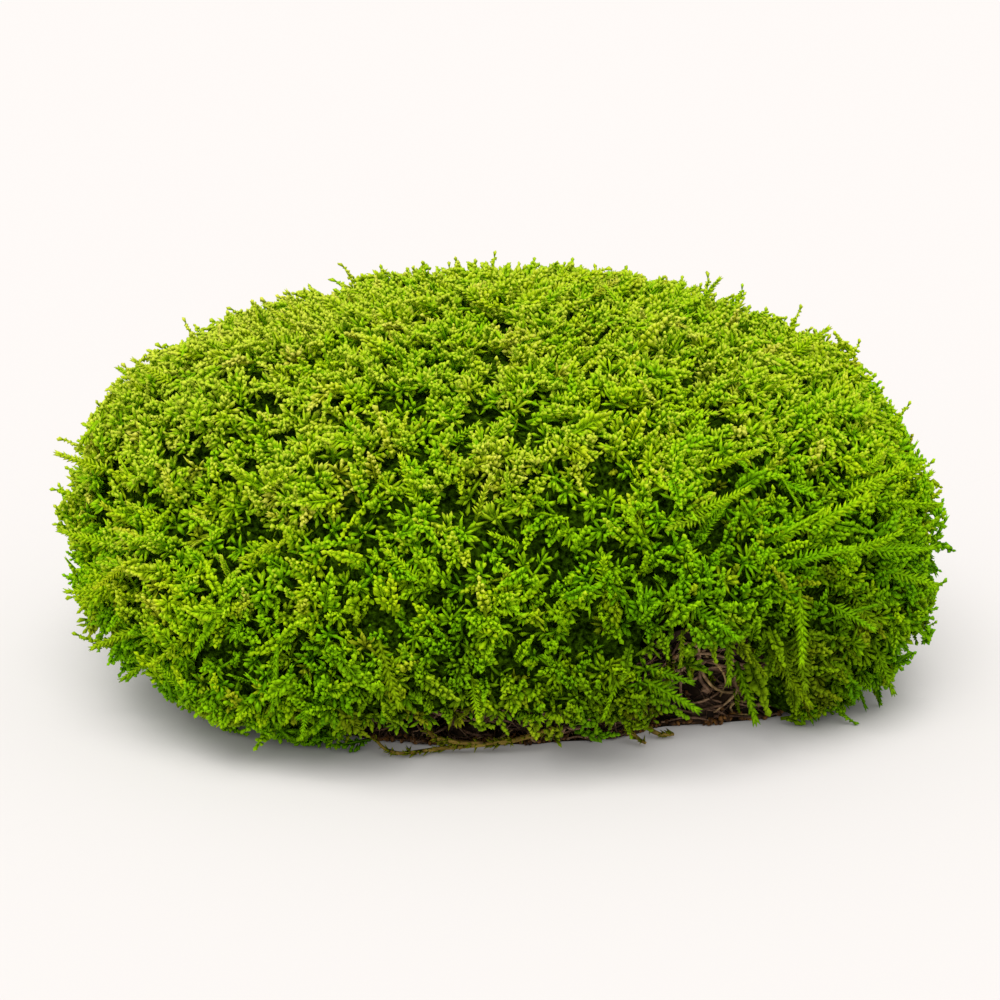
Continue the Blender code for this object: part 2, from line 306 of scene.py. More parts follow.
def model_leafy_stem(name, length, rings, stem, leaf_out, leaf_forward, taper, twist, tip):
    """Extrudes a three-sided stem ring by ring, closes it in a bud, then pokes its side faces into leaves.

    The lowest ring stays bare, and the leaves of the last ring close in over the bud."""
    deselect_all()
    bpy.ops.mesh.primitive_circle_add(vertices=3, radius=stem * MM, fill_type="NGON")
    obj = bpy.context.object
    obj.name = name
    bpy.ops.object.mode_set(mode="EDIT")
    step = length / rings
    for ring in range(1, rings + 1):
        bpy.ops.mesh.extrude_region_move(TRANSFORM_OT_translate={"value": (0, 0, step * MM)})
        centre = (0, 0, ring * step * MM)
        bpy.ops.transform.rotate(value=math.radians(twist), orient_axis="Z", center_override=centre)
        bpy.ops.transform.resize(value=(taper, taper, 1), center_override=centre)
    bpy.ops.mesh.extrude_region_move(TRANSFORM_OT_translate={"value": (0, 0, tip * step * MM)})
    bpy.ops.mesh.merge(type="CENTER")
    bpy.ops.mesh.select_all(action="SELECT")
    bpy.ops.mesh.normals_make_consistent(inside=False)
    bpy.ops.mesh.select_all(action="DESELECT")
    bpy.ops.mesh.select_mode(type="FACE")
    bpy.ops.object.mode_set(mode="OBJECT")
    for face in obj.data.polygons:
        face.select = len(face.vertices) == 4 and face.center.z > step * MM
    before = len(obj.data.vertices)
    bpy.ops.object.mode_set(mode="EDIT")
    bpy.ops.mesh.poke(offset=leaf_out * MM)
    bpy.ops.mesh.select_mode(type="VERT")
    bpy.ops.mesh.select_all(action="DESELECT")
    bpy.ops.object.mode_set(mode="OBJECT")
    for vertex in obj.data.vertices:
        vertex.select = vertex.index >= before
    bpy.ops.object.mode_set(mode="EDIT")
    bpy.ops.transform.translate(value=(0, 0, leaf_forward * MM))
    bpy.ops.mesh.select_all(action="DESELECT")
    bpy.ops.object.mode_set(mode="OBJECT")
    for vertex in obj.data.vertices:
        last_ring = vertex.co.z > ((rings - 1) * step + leaf_forward) * MM
        vertex.select = vertex.index >= before and last_ring
    bpy.ops.object.mode_set(mode="EDIT")
    bpy.ops.transform.resize(value=(CLOSED_SHARE, CLOSED_SHARE, 1), center_override=(0, 0, 0))
    bpy.ops.mesh.select_all(action="SELECT")
    bpy.ops.mesh.quads_convert_to_tris()
    bpy.ops.mesh.normals_make_consistent(inside=False)
    bpy.ops.object.mode_set(mode="OBJECT")
    return obj


def arrays_of(obj):
    """A modelled piece as two arrays, its points and its triangles, with the object removed."""
    obj.data.calc_loop_triangles()
    triangles = np.array([t.vertices[:] for t in obj.data.loop_triangles])
    points = points_of(obj)
    bpy.data.objects.remove(obj)
    return points, triangles


def model_set(name, length, rings, taper, tip, rows):
    """A few leafy stems of one kind, each row giving stem, leaf out, leaf forward and twist."""
    forms = []
    for number, (stem, out, onward, twist) in enumerate(rows):
        obj = model_leafy_stem(f"{name}_{number}", length, rings, stem, out, onward, taper, twist, tip)
        forms.append(arrays_of(obj))
        print(name, number, "has", len(forms[-1][1]), "triangles")
    return forms


knobs = (model_set("knob", 2.3, 3, 0.92, 0.66, ((0.25, 0.24, 0.30, 44),))
         + model_set("short_knob", 1.7, 2, 0.90, 0.80, ((0.24, 0.24, 0.38, 50), (0.22, 0.27, 0.34, 38),
                                                        (0.27, 0.21, 0.32, 60))))

# %% [markdown]
# ## Barbs: plain branchlets
#
# Between the knobby branchlets are slender smooth ones, thickest near their blunt tip. A cone of three sides
# that stands on its point has that form already. Only its flat lid is wrong, so the lid is poked up.

# %% Barbs
BARB_LENGTH = 1.2
BARB_WIDTHS = (0.31, 0.36, 0.41)
BLUNT_SHARE = 0.24  # length of a barb's blunt end, as a share of the barb


def model_barb(name, length, width):
    """A three-sided cone that stands on its point, with its lid poked up into a blunt end."""
    deselect_all()
    body = (1 - BLUNT_SHARE) * length
    bpy.ops.mesh.primitive_cone_add(vertices=3, radius1=width * MM, radius2=0, depth=body * MM,
                                    location=(0, 0, body / 2 * MM), rotation=(math.pi, 0, 0))
    obj = bpy.context.object
    obj.name = name
    bpy.ops.object.transform_apply(location=True, rotation=True, scale=False)
    bpy.ops.object.mode_set(mode="EDIT")
    bpy.ops.mesh.select_mode(type="FACE")
    bpy.ops.mesh.select_all(action="DESELECT")
    bpy.ops.object.mode_set(mode="OBJECT")
    for face in obj.data.polygons:
        face.select = face.center.z > 0.9 * body * MM
    bpy.ops.object.mode_set(mode="EDIT")
    bpy.ops.mesh.poke(offset=BLUNT_SHARE * length * MM)
    bpy.ops.object.mode_set(mode="OBJECT")
    return obj


barbs = [arrays_of(model_barb("barb", BARB_LENGTH, width)) for width in BARB_WIDTHS]
print("a barb has", len(barbs[0][1]), "triangles")

# %% [markdown]
# ## The bare axis of a shoot
#
# Every shoot has a thin stem in its middle, seen only between the branchlets. A slim three-sided cone is
# enough, cut once across its middle so that it can bend with the shoot.

# %% The bare axis
AXIS_LENGTH = 6.0

deselect_all()
bpy.ops.mesh.primitive_cone_add(vertices=3, radius1=0.32 * MM, radius2=0.16 * MM, depth=AXIS_LENGTH * MM,
                                location=(0, 0, AXIS_LENGTH / 2 * MM))
axis = bpy.context.object
bpy.ops.object.transform_apply(location=True, rotation=False, scale=False)
bpy.ops.object.mode_set(mode="EDIT")
bpy.ops.mesh.select_all(action="SELECT")
bpy.ops.mesh.bisect(plane_co=(0, 0, AXIS_LENGTH / 2 * MM), plane_no=(0, 0, 1))
bpy.ops.mesh.select_all(action="SELECT")
bpy.ops.mesh.quads_convert_to_tris()
bare_axis = arrays_of(axis)
print("axis has", len(bare_axis[1]), "triangles")

# %% Helpers that put a shoot together
rng = np.random.default_rng(11)


def way_at(turn, rise):
    """The direction this many degrees round from X in the flat of a shoot, and this many out of it."""
    turn, rise = math.radians(turn), math.radians(rise)
    return np.array((math.cos(turn) * math.cos(rise), math.sin(turn) * math.cos(rise), math.sin(rise)))


def set_on(points, origin, direction, square_to=(0, 0, 1.0)):
    """The points of a form that stands along Z, laid along the direction from the origin."""
    side = unit(np.cross(square_to, direction))
    up = np.cross(direction, side)
    return origin + points[:, :1] * side + points[:, 1:2] * up + points[:, 2:] * direction


def ages_of(points, root, tip, power=1):
    """How young each point of a form that stands along Z is, from its root to its tip."""
    share = np.clip(points[:, 2:] / points[:, 2].max(), 0, 1) ** power
    return share * tip + (1 - share) * root


def axis_part(length, root, tip):
    """The bare axis laid along X: points, triangles and ages."""
    points, faces = bare_axis
    ages = ages_of(points, root, tip, 2)
    return set_on(points * (1, 1, length / points[:, 2].max()), 0, np.array((1.0, 0, 0))), faces, ages


def join_arrays(parts):
    """Several sets of points, triangles and growth values as one set."""
    points, triangles, growth, offset = [], [], [], 0
    for p, t, g in parts:
        points.append(p)
        triangles.append(t + offset)
        growth.append(g)
        offset += len(p)
    return np.vstack(points), np.vstack(triangles), np.vstack(growth)


def tell(kind, shoots):
    """Prints the measures of each shoot of one kind."""
    for points, faces, _, total in shoots:
        print(f"{kind} {total:.1f} long, {np.ptp(points[:, 1]):.1f} wide, {len(faces)} triangles")


# %% [markdown]
# ## Combs: shoots without side branches
#
# At the right of the clump hang shoots like combs, with pointed leaves in two flat rows and a few along the
# back. A single leaf is a cone of three sides pressed flat, and a function lays it along the axis again and
# again, shorter towards the tip. Three leaves close the tip.

# %% One pointed leaf
LEAF_LENGTH = 1.2
LEAF_FLATNESS = 0.62

deselect_all()
bpy.ops.mesh.primitive_cone_add(vertices=3, radius1=0.35 * MM, radius2=0, depth=LEAF_LENGTH * MM,
                                location=(0, 0, LEAF_LENGTH / 2 * MM))
scale_leaf = bpy.context.object
bpy.ops.object.mode_set(mode="EDIT")
bpy.ops.mesh.select_all(action="SELECT")
bpy.ops.transform.resize(value=(1.0, LEAF_FLATNESS, 1.0), center_override=(0, 0, 0))
bpy.ops.object.mode_set(mode="OBJECT")
bpy.ops.object.transform_apply(location=True, rotation=False, scale=False)
leaf = arrays_of(scale_leaf)
print("leaf has", len(leaf[1]), "triangles")

# %% Lay out combs
BARE_FOOT = 0.8  # length of stem below the first leaves
TIP_TURNS = (-22, 0, 22)
TIP_RISES = (8, -6, 8)


def lay_comb(leaves, step, longest, spread):
    """A shoot that lies along X with its face up: points, triangles, how young each point is, and length."""
    total = BARE_FOOT + leaves * step + 0.6
    on_back = leaves // 2
    points, faces = leaf
    parts = []
    for number in range(2 * leaves + on_back + 3):
        if number < 2 * leaves:
            along = (number // 2) / leaves
            sign = 1 if number % 2 else -1
            turn = (spread * (1.15 - 0.5 * along) + rng.uniform(-8, 8)) * sign
            rise = rng.uniform(-8, 26)
            where = BARE_FOOT + step * (number // 2 + 0.25 * sign)
            size = longest * (1.0 - 0.45 * along) * rng.uniform(0.85, 1.15)
        elif number < 2 * leaves + on_back:
            along = (number - 2 * leaves) / on_back
            turn = rng.uniform(-14, 14)
            rise = rng.uniform(24, 40)
            where = 0.9 + along * (total - 2.2)
            size = longest * rng.uniform(0.7, 0.9)
        else:
            along = 1.0
            turn, rise = TIP_TURNS[number % 3], TIP_RISES[number % 3]
            where, size = total - 1.0, 1.05
        stretched = points * (1, 1, size / LEAF_LENGTH)
        parts.append((set_on(stretched, (where, 0, 0), way_at(turn, rise)), faces,
                      ages_of(points, 0.18 + 0.35 * along, 0.70 + 0.28 * along)))
    parts.append(axis_part(total - 0.6, 0.2, 0.2))
    return *join_arrays(parts), total


combs = [
    lay_comb(10, 0.58, 1.35, 50),
    lay_comb(8, 0.62, 1.20, 46),
    lay_comb(12, 0.55, 1.25, 54),
    lay_comb(9, 0.60, 1.50, 58),
]
tell("comb", combs)

# %% [markdown]
# ## Bushes: shoots with branchlets all round
#
# The middle of the clump is made of short bushy shoots that one looks down on. Branchlets that follow each
# other by the golden angle never stand above one another, as on many real plants. Knobs and barbs take
# turns: knobs alone look like beads, and barbs alone like a succulent.

# %% Lay out bushes
GOLDEN_ANGLE = 137.5


def lay_bush(total, shoot_count, longest, open_angle):
    """A bushy shoot that points along X, wide open at its foot and closed at its tip."""
    parts = []
    turn = rng.uniform(0, 2 * math.pi)
    for number in range(shoot_count):
        along = number / (shoot_count - 1)
        turn += math.radians(GOLDEN_ANGLE) + rng.normal(0, 0.25)
        angle = math.radians(open_angle * (1.15 - 0.80 * along) + rng.normal(0, 7))
        out = math.sin(angle)
        direction = np.array((math.cos(angle), out * math.cos(turn), out * math.sin(turn)))
        forms = barbs if number % 2 == 1 else knobs
        points, faces = forms[rng.integers(len(forms))]
        size = longest * (1.05 - 0.35 * along) * rng.uniform(0.85, 1.15)
        start = total - 0.8 * size * math.cos(angle) - 0.9 - (1 - along) * 0.42 * total
        bent = points * (1, 1, size / points[:, 2].max())
        bent[:, 0] += rng.uniform(-0.11, 0.11) * bent[:, 2] ** 2
        bent[:, 1] += rng.uniform(-0.02, 0.13) * bent[:, 2] ** 2
        parts.append((set_on(bent, (start, 0, 0), direction, (1.0, 0.02, 0.01)), faces,
                      ages_of(points, 0.14 + 0.22 * along, 0.80 + 0.20 * along, 2)))
    parts.append(axis_part(total - 1.2, 0.1, 0.1))
    return *join_arrays(parts), total


bushes = [
    lay_bush(4.8, 11, 2.5, 74),
    lay_bush(4.6, 9, 2.5, 82),
    lay_bush(5.0, 11, 2.7, 72),
    lay_bush(4.6, 11, 2.3, 84),
    lay_bush(4.8, 10, 2.3, 74),
    lay_bush(4.4, 9, 2.5, 80),
]
tell("bush", bushes)

# %% [markdown]
# ## Flat fronds and sprigs
#
# Other shoots are small flat feathers, with a row of barbs down both sides, longest a quarter of the way up
# and short at the tip. The sprigs are narrow ones, for the spikes on the outline. Each could be modelled for
# itself, but one function lays them all, and no two of its fronds have the same barbs.

# %% Lay out flat fronds
TIP_BARB = 1.4
BARB_ARCH = 0.20
BARB_LIFT = 0.22


def lay_frond(pairs, first, step, longest, spread, lift, round_about):
    """One frond lying along X with its face up: points, triangles, how young each point is, and length."""
    total = first + pairs * step + 1.0
    parts = [axis_part(total - 1.0, 0.05, 0.45)]
    for number in range(2 * pairs + 1):
        along = (number // 2) / pairs
        sign = 1 if number % 2 else -1
        where = first + step * (number // 2 + 0.25 * sign + rng.uniform(-0.15, 0.15))
        size = longest * np.interp(along, (0, 0.25, 1), (0.60, 1.00, 0.38)) * rng.uniform(0.85, 1.12)
        turn = (spread * (1.12 - 0.45 * along) + rng.uniform(-9, 9)) * sign
        rise = lift + rng.normal(0, round_about)
        if number == 2 * pairs:
            where, size, turn, rise = total - 1.3, TIP_BARB, 0.0, 0.0
        points, faces = barbs[rng.integers(len(barbs))]
        bent = points.copy()
        bent[:, 0] -= sign * BARB_ARCH * bent[:, 2] ** 2 * rng.uniform(0.0, 1.6)
        bent[:, 1] += BARB_LIFT * bent[:, 2] ** 2 * rng.uniform(-0.7, 1.0)
        width = rng.uniform(0.85, 1.15)
        bent *= (width, width, size / points[:, 2].max())
        parts.append((set_on(bent, (where, 0, 0.05), way_at(turn, rise)), faces,
                      ages_of(points, 0.16 + 0.22 * along, 0.80 + 0.20 * along, 2)))
    return *join_arrays(parts), total


flat_fronds = [
    lay_frond(10, 0.7, 0.42, 1.75, 56, 12, 24),
    lay_frond(9, 0.7, 0.42, 1.50, 52, 10, 20),
    lay_frond(9, 0.8, 0.46, 1.95, 54, 18, 32),
    lay_frond(11, 0.6, 0.37, 1.35, 48, 14, 20),
]
sprigs = [
    lay_frond(12, 0.6, 0.44, 1.15, 44, 8, 34),
    lay_frond(11, 0.7, 0.44, 1.05, 38, 4, 40),
]
tell("flat frond", flat_fronds)
tell("sprig", sprigs)

# %% All the shoots
fronds = bushes + flat_fronds + combs + sprigs
BUSHES = range(0, len(bushes))
FEATHERS = range(len(bushes), len(fronds))
FEATHER_SHARES = (0.21, 0.21, 0.21, 0.17, 0.02, 0.02, 0.02, 0.02, 0.06, 0.06)  # how often each is taken
print(len(fronds), "kinds of shoot, of which bushes:", len(BUSHES))

# %% [markdown]
# ## Lumps, hollows and the hem
#
# The real clump has mounds a centimetre wide with dark folds between them, and a hem that hangs short over
# the humus at the front. Some mounds can be told apart in the photograph, so those are placed by their
# pixels, through the camera and on to the skin. A soft noise gives the rest, and all the sides that the
# photograph doesn't show. The pixels only say where: each place is then a real one on the clump.

# %% What the photograph shows where
RELIEF = (  # pixels across and down, radius in pixels, and rise in millimetres
    (180, 410, 34, 1.6), (350, 432, 36, 1.7), (290, 490, 28, 1.4), (650, 500, 34, 1.6),
    (690, 330, 30, 1.2), (420, 300, 26, 1.2), (560, 290, 30, 1.0), (170, 650, 30, 1.4),
    (130, 590, 26, 1.2), (400, 685, 24, 1.2), (520, 590, 22, 1.6), (870, 440, 34, 1.3),
    (760, 390, 32, 1.4), (580, 430, 24, 1.0), (230, 600, 24, 1.0), (800, 600, 20, 1.2),
    (330, 560, 26, 1.0), (690, 600, 24, 0.9), (610, 560, 22, 0.9), (340, 392, 13, -2.6),
    (375, 390, 14, -3.2), (412, 392, 13, -2.6), (310, 350, 13, -2.2), (485, 405, 12, -2.4),
    (460, 485, 15, -3.0), (620, 465, 13, -2.6), (745, 475, 14, -3.0), (725, 535, 14, -2.8),
    (240, 520, 13, -2.4), (135, 500, 12, -2.0), (215, 575, 12, -2.0), (440, 590, 14, -2.6),
    (380, 615, 14, -2.8), (455, 650, 15, -2.8), (550, 595, 12, -2.0), (590, 640, 14, -2.8),
    (885, 560, 13, -2.4), (820, 555, 13, -2.6), (855, 615, 14, -2.8), (545, 330, 12, -2.0),
    (200, 440, 11, -1.6), (660, 570, 12, -2.2), (520, 655, 12, -2.2), (95, 440, 40, 2.2),
    (75, 490, 30, 1.4), (150, 375, 38, 1.4), (190, 340, 30, 1.0), (260, 305, 30, 1.0),
    (420, 272, 56, 1.4), (520, 268, 56, 1.0), (640, 282, 40, 0.8), (845, 350, 30, 1.2),
    (905, 450, 40, 2.4), (930, 505, 26, 1.0), (80, 600, 24, 1.2), (930, 600, 22, 1.2),
)
OLIVE_SPOTS = (  # pixels across and down, radius in pixels, and how brown the shoots are there
    (480, 470, 26, 0.9), (258, 500, 22, 0.6), (515, 462, 18, 0.9), (570, 452, 20, 0.7),
    (160, 470, 22, 0.5), (500, 345, 16, 0.6), (660, 345, 18, 0.5), (120, 580, 26, 0.5),
    (400, 690, 30, 0.6), (760, 680, 34, 0.7), (560, 690, 30, 0.4), (855, 645, 32, 0.9),
    (395, 420, 16, 0.6), (690, 340, 14, 0.4), (700, 645, 30, 0.5), (820, 690, 30, 0.9),
    (640, 700, 30, 0.5), (470, 705, 40, 0.5), (600, 718, 40, 0.5), (760, 640, 24, 0.5),
)
HEM_LINE = (  # azimuth in degrees and the height where the green stops, in millimetres
    (-180, 0.9), (-121, 1.0), (-117, 3.5), (-112, 7.0), (-104, 9.0), (-96, 9.6), (-84, 9.2), (-78, 7.8),
    (-72, 6.4), (-67, 5.6), (-64, 7.5), (-60, 13.0), (-56, 16.0), (-44, 16.0), (-40, 12.0), (-37, 5.0),
    (-35, 1.5), (-33.5, 0.9), (180, 0.9),
)
FOOT_LINE = (  # azimuth in degrees and how far out the shoots reach on the floor, in millimetres
    (-180, 68), (-165, 62), (-152, 55.7), (-142, 53.5), (-135.6, 50.6), (-129, 47.6), (-121, 44), (-48, 40),
    (-38.7, 45.5), (-32, 50.9), (-28.6, 54.4), (-19.4, 58), (0, 68), (180, 68),
)
PATCH_OUTLINE = (  # pixels across and down round the bare humus at the right of the foot
    (668, 660), (688, 650), (722, 648), (742, 640), (775, 638), (786, 660), (794, 690), (784, 710),
    (748, 722), (700, 730), (652, 742), (640, 738), (660, 712), (672, 690),
)
print("landmarks:", len(RELIEF), "lumps and hollows,", len(OLIVE_SPOTS), "olive patches")

# %% From pixels to the skin and back
SHOOT_RISE = 1.8  # how far the tips that one sees stand above the skin
PIXEL = 0.157  # millimetres on the clump

skin_tree = bvhtree.BVHTree.FromPolygons([Vector(p) for p in skin_points + SHOOT_RISE * skin_normals],
                                         [tuple(f) for f in skin_faces[~face_under]])
eye_mm = np.array(eye) / MM
MIDDLE_PIXEL = (500, 500)


def seen_on_skin(across, down):
    """The place on the skin under the tips that one pixel looks at; a pixel just off the clump moves in."""
    for step in range(40):
        share = 0.01 * step
        line = sight_line(across + share * (MIDDLE_PIXEL[0] - across),
                          down + share * (MIDDLE_PIXEL[1] - down))
        place, normal = skin_tree.ray_cast(Vector(eye_mm), line)[:2]
        if place is not None and normal.dot(line) < 0:
            return np.array(place) - SHOOT_RISE * np.array(normal)
    raise ValueError(f"pixel {across}, {down} is not on the clump")


def pixels_of(places):
    """Where places on the clump are seen in the picture, in pixels across and down."""
    away = places - eye_mm
    depth = away @ np.array(forward)
    across = 500 + PICTURE_SHIFT[0] + FOCAL_PIXELS * away[:, 0] / depth
    down = 500 + PICTURE_SHIFT[1] - FOCAL_PIXELS * (away @ np.array(upward)) / depth
    return np.column_stack((across, down))


def in_patch(places, swell=1.0):
    """Which places on the front are seen inside the outline of the bare patch, or of a swollen one."""
    pixels = pixels_of(places)
    inside = np.zeros(len(places), bool)
    corners = np.array(PATCH_OUTLINE, float)
    corners = corners.mean(axis=0) + swell * (corners - corners.mean(axis=0))
    for (x0, y0), (x1, y1) in zip(corners, np.roll(corners, -1, axis=0)):
        crosses = (y0 > pixels[:, 1]) != (y1 > pixels[:, 1])
        if y0 != y1:
            inside ^= crosses & (pixels[:, 0] < x0 + (pixels[:, 1] - y0) * (x1 - x0) / (y1 - y0))
    return inside & (places[:, 1] < 0)


print("the middle pixel looks at", np.round(seen_on_skin(*MIDDLE_PIXEL), 1))

# %% Mounds and the hem
MOUND_SIZE = 11.0
MOUND_RISE = 2.1
FALL_STEP = 0.8
FULL_SLOPE = 1 / 3


def spots_on_skin(rows):
    """Rows of pixel, radius and value as places, radii in millimetres and values."""
    places = np.array([seen_on_skin(across, down) for across, down, _, _ in rows])
    return places, np.array([row[2] * PIXEL for row in rows]), np.array([row[3] for row in rows])


relief_places, relief_radii, relief_rises = spots_on_skin(RELIEF)
olive_places, olive_radii, olive_values = spots_on_skin(OLIVE_SPOTS)


def rise_at(place):
    """How far the shoots stand above the skin's middle level."""
    rise = MOUND_RISE * noise.noise(Vector(place) / MOUND_SIZE + Vector((3.1, 7.7, 1.3)))
    away = ((relief_places - place) ** 2).sum(axis=1) / (2 * relief_radii ** 2)
    return rise + float((relief_rises * np.exp(-away)).sum())


def fall_line(place, normal):
    """The direction along the skin in which the mounds fall off fastest; about 1 long on a full slope."""
    here = rise_at(place)
    slope = np.array([rise_at(place + FALL_STEP * way) - here for way in np.eye(3)]) / FALL_STEP
    slope -= normal * slope.dot(normal)
    return -slope / FULL_SLOPE


def hem_height(places):
    """Where the green stops under each place."""
    turns = np.degrees(np.arctan2(places[:, 1], places[:, 0]))
    return np.interp(turns, [row[0] for row in HEM_LINE], [row[1] for row in HEM_LINE])


print("highest lump by pixel:", relief_rises.max(), "and deepest hollow:", relief_rises.min())

# %% [markdown]
# ## Where the shoots stand
#
# The tips matter more than the roots, because the tips make the outline and the lights of the picture. Tips
# are strewn over the skin with an even spacing and raised by the mounds, and every shoot is then laid
# backwards from its tip. Bushes stand nearly upright on the skin and fill it.

# %% Helpers that strew tips and lean shoots
HOLLOW_SHARE = 0.10  # of the shoots in a hollow that are left out
HOLLOW_DEPTH = 1.7


def strew(points, count, spacing):
    """Spots spread over the open faces of the skin, none nearer to another than the spacing."""
    weights = np.linalg.norm(face_sides(points, skin_faces), axis=1) * ~face_under
    chosen = rng.choice(len(weights), count, p=weights / weights.sum())
    mix = rng.random((count, 2))
    flip = mix.sum(axis=1) > 1
    mix[flip] = 1 - mix[flip]
    c = points[skin_faces[chosen]]
    spots = c[:, 0] + mix[:, :1] * (c[:, 1] - c[:, 0]) + mix[:, 1:] * (c[:, 2] - c[:, 0])
    normals = unit(skin_normals[skin_faces[chosen]].mean(axis=1))
    kept = np.full((count, 3), 1e6)
    picks = []
    for number, spot in enumerate(spots):
        near = kept[:len(picks)]
        if len(picks) == 0 or ((near - spot) ** 2).sum(axis=1).min() > spacing ** 2:
            kept[len(picks)] = spot
            picks.append(number)
    return spots[picks], normals[picks]


def usable_tips(count, spacing):
    """Strewn tips with their normals and rises, without those under the hem and some in the hollows."""
    tips, normals = strew(skin_points, count, spacing)
    rises = np.array([rise_at(t) for t in tips])
    usable = (normals[:, 2] > -0.8) & (tips[:, 2] > hem_height(tips) - 0.2)
    usable &= (rises > -HOLLOW_DEPTH) | (rng.random(len(tips)) > HOLLOW_SHARE)
    return tips[usable], normals[usable], rises[usable]


def tilt(normals, ways, degrees):
    """The normals leant over towards the ways."""
    ways = unit(ways - normals * (ways * normals).sum(axis=1)[:, None])
    lean = np.radians(degrees)[:, None]
    return normals * np.cos(lean) + ways * np.sin(lean)


def face_of(along, looks, spread):
    """The way each shoot's face looks, square to the shoot, rolled about it by a random angle."""
    face = unit(looks - along * (looks * along).sum(axis=1)[:, None])
    roll = np.radians(rng.normal(0, spread, len(along)))[:, None]
    return unit(face * np.cos(roll) + np.cross(along, face) * np.sin(roll))


# %% Strew the bushes
BUSH_SPACING = 2.46
BUSHES_TRIED = 36000
HIGHEST_BUSH = 3.4

tips, normals, bush_rises = usable_tips(BUSHES_TRIED, BUSH_SPACING)
falls = np.array([fall_line(t, n) for t, n in zip(tips, normals)])
steep = np.minimum(np.linalg.norm(falls, axis=1), 1.4)
ways = falls + 0.6 * unit(rng.normal(size=tips.shape))
along = tilt(normals, ways, np.clip(18 + 16 * steep + rng.normal(0, 10, len(tips)), 2, 58))
face = face_of(along, rng.normal(size=tips.shape), 0)
tips = tips + normals * np.minimum(bush_rises + rng.normal(0.6, 0.6, len(tips)), HIGHEST_BUSH)[:, None]
kinds = rng.integers(BUSHES.start, BUSHES.stop, len(tips))
sizes = rng.uniform(0.95, 1.20, len(tips))
print("bushes:", len(tips))

# %% [markdown]
# ## Feathers over the bushes
#
# Fronds, combs and sprigs lie over the bushes at a slant: few in the middle of the front, many at the sides,
# as in the photograph. They could each lean their own way, but on real moss neighbours grow towards the same
# light. So a slow noise steers them, and they lean outward, up on the crown and down at the foot. The clock
# would seed that noise, so it gets a seed of its own, which makes every run give the same clump.

# %% Strew the feathers
FEATHER_SPACING = 2.15
FEATHERS_TRIED = 40000
FRONT_SHARE = 0.9  # of the feathers that stay in the middle of the front
UPRIGHT_SHARE = 0.3
HIGHEST_LIFT = 4.4
STRAY_SHARE = 0.2  # of the upright feathers that stand well out of the rest
FLOW_SIZE = 8.0  # millimetres over which neighbouring feathers lean the same way
FLOW_SEED = 1795520028

noise.seed_set(FLOW_SEED)


def feather_ways(places, normals):
    """The ways that feathers lean."""
    outward = unit(places * (1, 1, 0))
    climb = np.interp(places[:, 2], (3, 14, 28), (-0.7, 0.0, 0.5))[:, None] * np.array((0, 0, 1.0))
    flow = np.array([noise.noise_vector(Vector(p) / FLOW_SIZE) for p in places])
    falls = np.array([fall_line(p, n) for p, n in zip(places, normals)])
    return 0.6 * outward + climb + 1.1 * flow + 0.5 * unit(rng.normal(size=places.shape)) + 0.3 * falls


feather_tips, normals, feather_rises = usable_tips(FEATHERS_TRIED, FEATHER_SPACING)
turns = np.degrees(np.arctan2(feather_tips[:, 1], feather_tips[:, 0]))
front = np.exp(-((turns + 98) / 34) ** 2) * (feather_tips[:, 2] < 54)
stay = (rng.random(len(turns)) > front * (1 - FRONT_SHARE)) & (feather_rises > -2.2)
feather_tips, normals, feather_rises = feather_tips[stay], normals[stay], feather_rises[stay]
upright = rng.random(len(normals)) < UPRIGHT_SHARE
lean = np.where(upright, rng.uniform(8, 36, len(normals)),
                np.clip(rng.normal(52, 12, len(normals)), 24, 76))
feather_along = tilt(normals, feather_ways(feather_tips, normals), lean)
feather_face = face_of(feather_along, normals, 30)
stray = rng.uniform(0.6, 1.8, len(normals)) * (rng.random(len(normals)) < STRAY_SHARE)
lift = feather_rises + np.clip(rng.normal(0.9, 0.6, len(normals)), 0, 1.8) + upright * (0.8 + stray)
lift = np.minimum(lift, HIGHEST_LIFT)
feather_tips = feather_tips + normals * lift[:, None]
feather_kinds = rng.choice(FEATHERS, len(normals), p=FEATHER_SHARES)
print("feathers:", len(feather_tips))

# %% [markdown]
# ## The fringe, the skirt and the apron
#
# Along the hem the lowest shoots hang down or reach out over the floor. Strewn tips stop at the hem, so three
# rows are added: a fringe on the hem itself, a skirt that reaches the floor where the hem is low, and an
# apron over the pad's right end, where the moss meets the floor beside the bare humus.

# %% The fringe
FRINGE_SPACING = 1.6

hem_edges = edges[under[edges[:, 0]] != under[edges[:, 1]]]
hem = np.unique(np.where(under[hem_edges[:, 0]], hem_edges[:, 1], hem_edges[:, 0]))
hem_spots = skin_points[hem[rng.permutation(len(hem))]]
hem_spots[:, 2] = np.maximum(hem_spots[:, 2], hem_height(hem_spots) + 0.2)
fringe = []
for spot in hem_spots:
    if not fringe or ((np.array(fringe) - spot) ** 2).sum(axis=1).min() > FRINGE_SPACING ** 2:
        fringe.append(spot)
fringe = np.array(fringe)
outward = unit(fringe * (1, 1, 0))
raised = (fringe[:, 2:] > 3.0)
hang = np.where(raised, 0.55 * outward + (0, 0, -0.75), 0.75 * outward + (0, 0, -0.55))
hang = unit(hang + 0.30 * rng.normal(size=fringe.shape))
fringe_tips = fringe + hang * rng.uniform(0.6, 2.2, (len(fringe), 1))
print("fringe:", len(fringe), "shoots on the hem")

# %% The skirt and the apron
SKIRT_STEP = 1.5  # degrees
LOW_HEM = 1.5
APRON = (-42.0, -28.0)  # degrees
APRON_COUNT = 70
LOWEST_TIP = 0.9

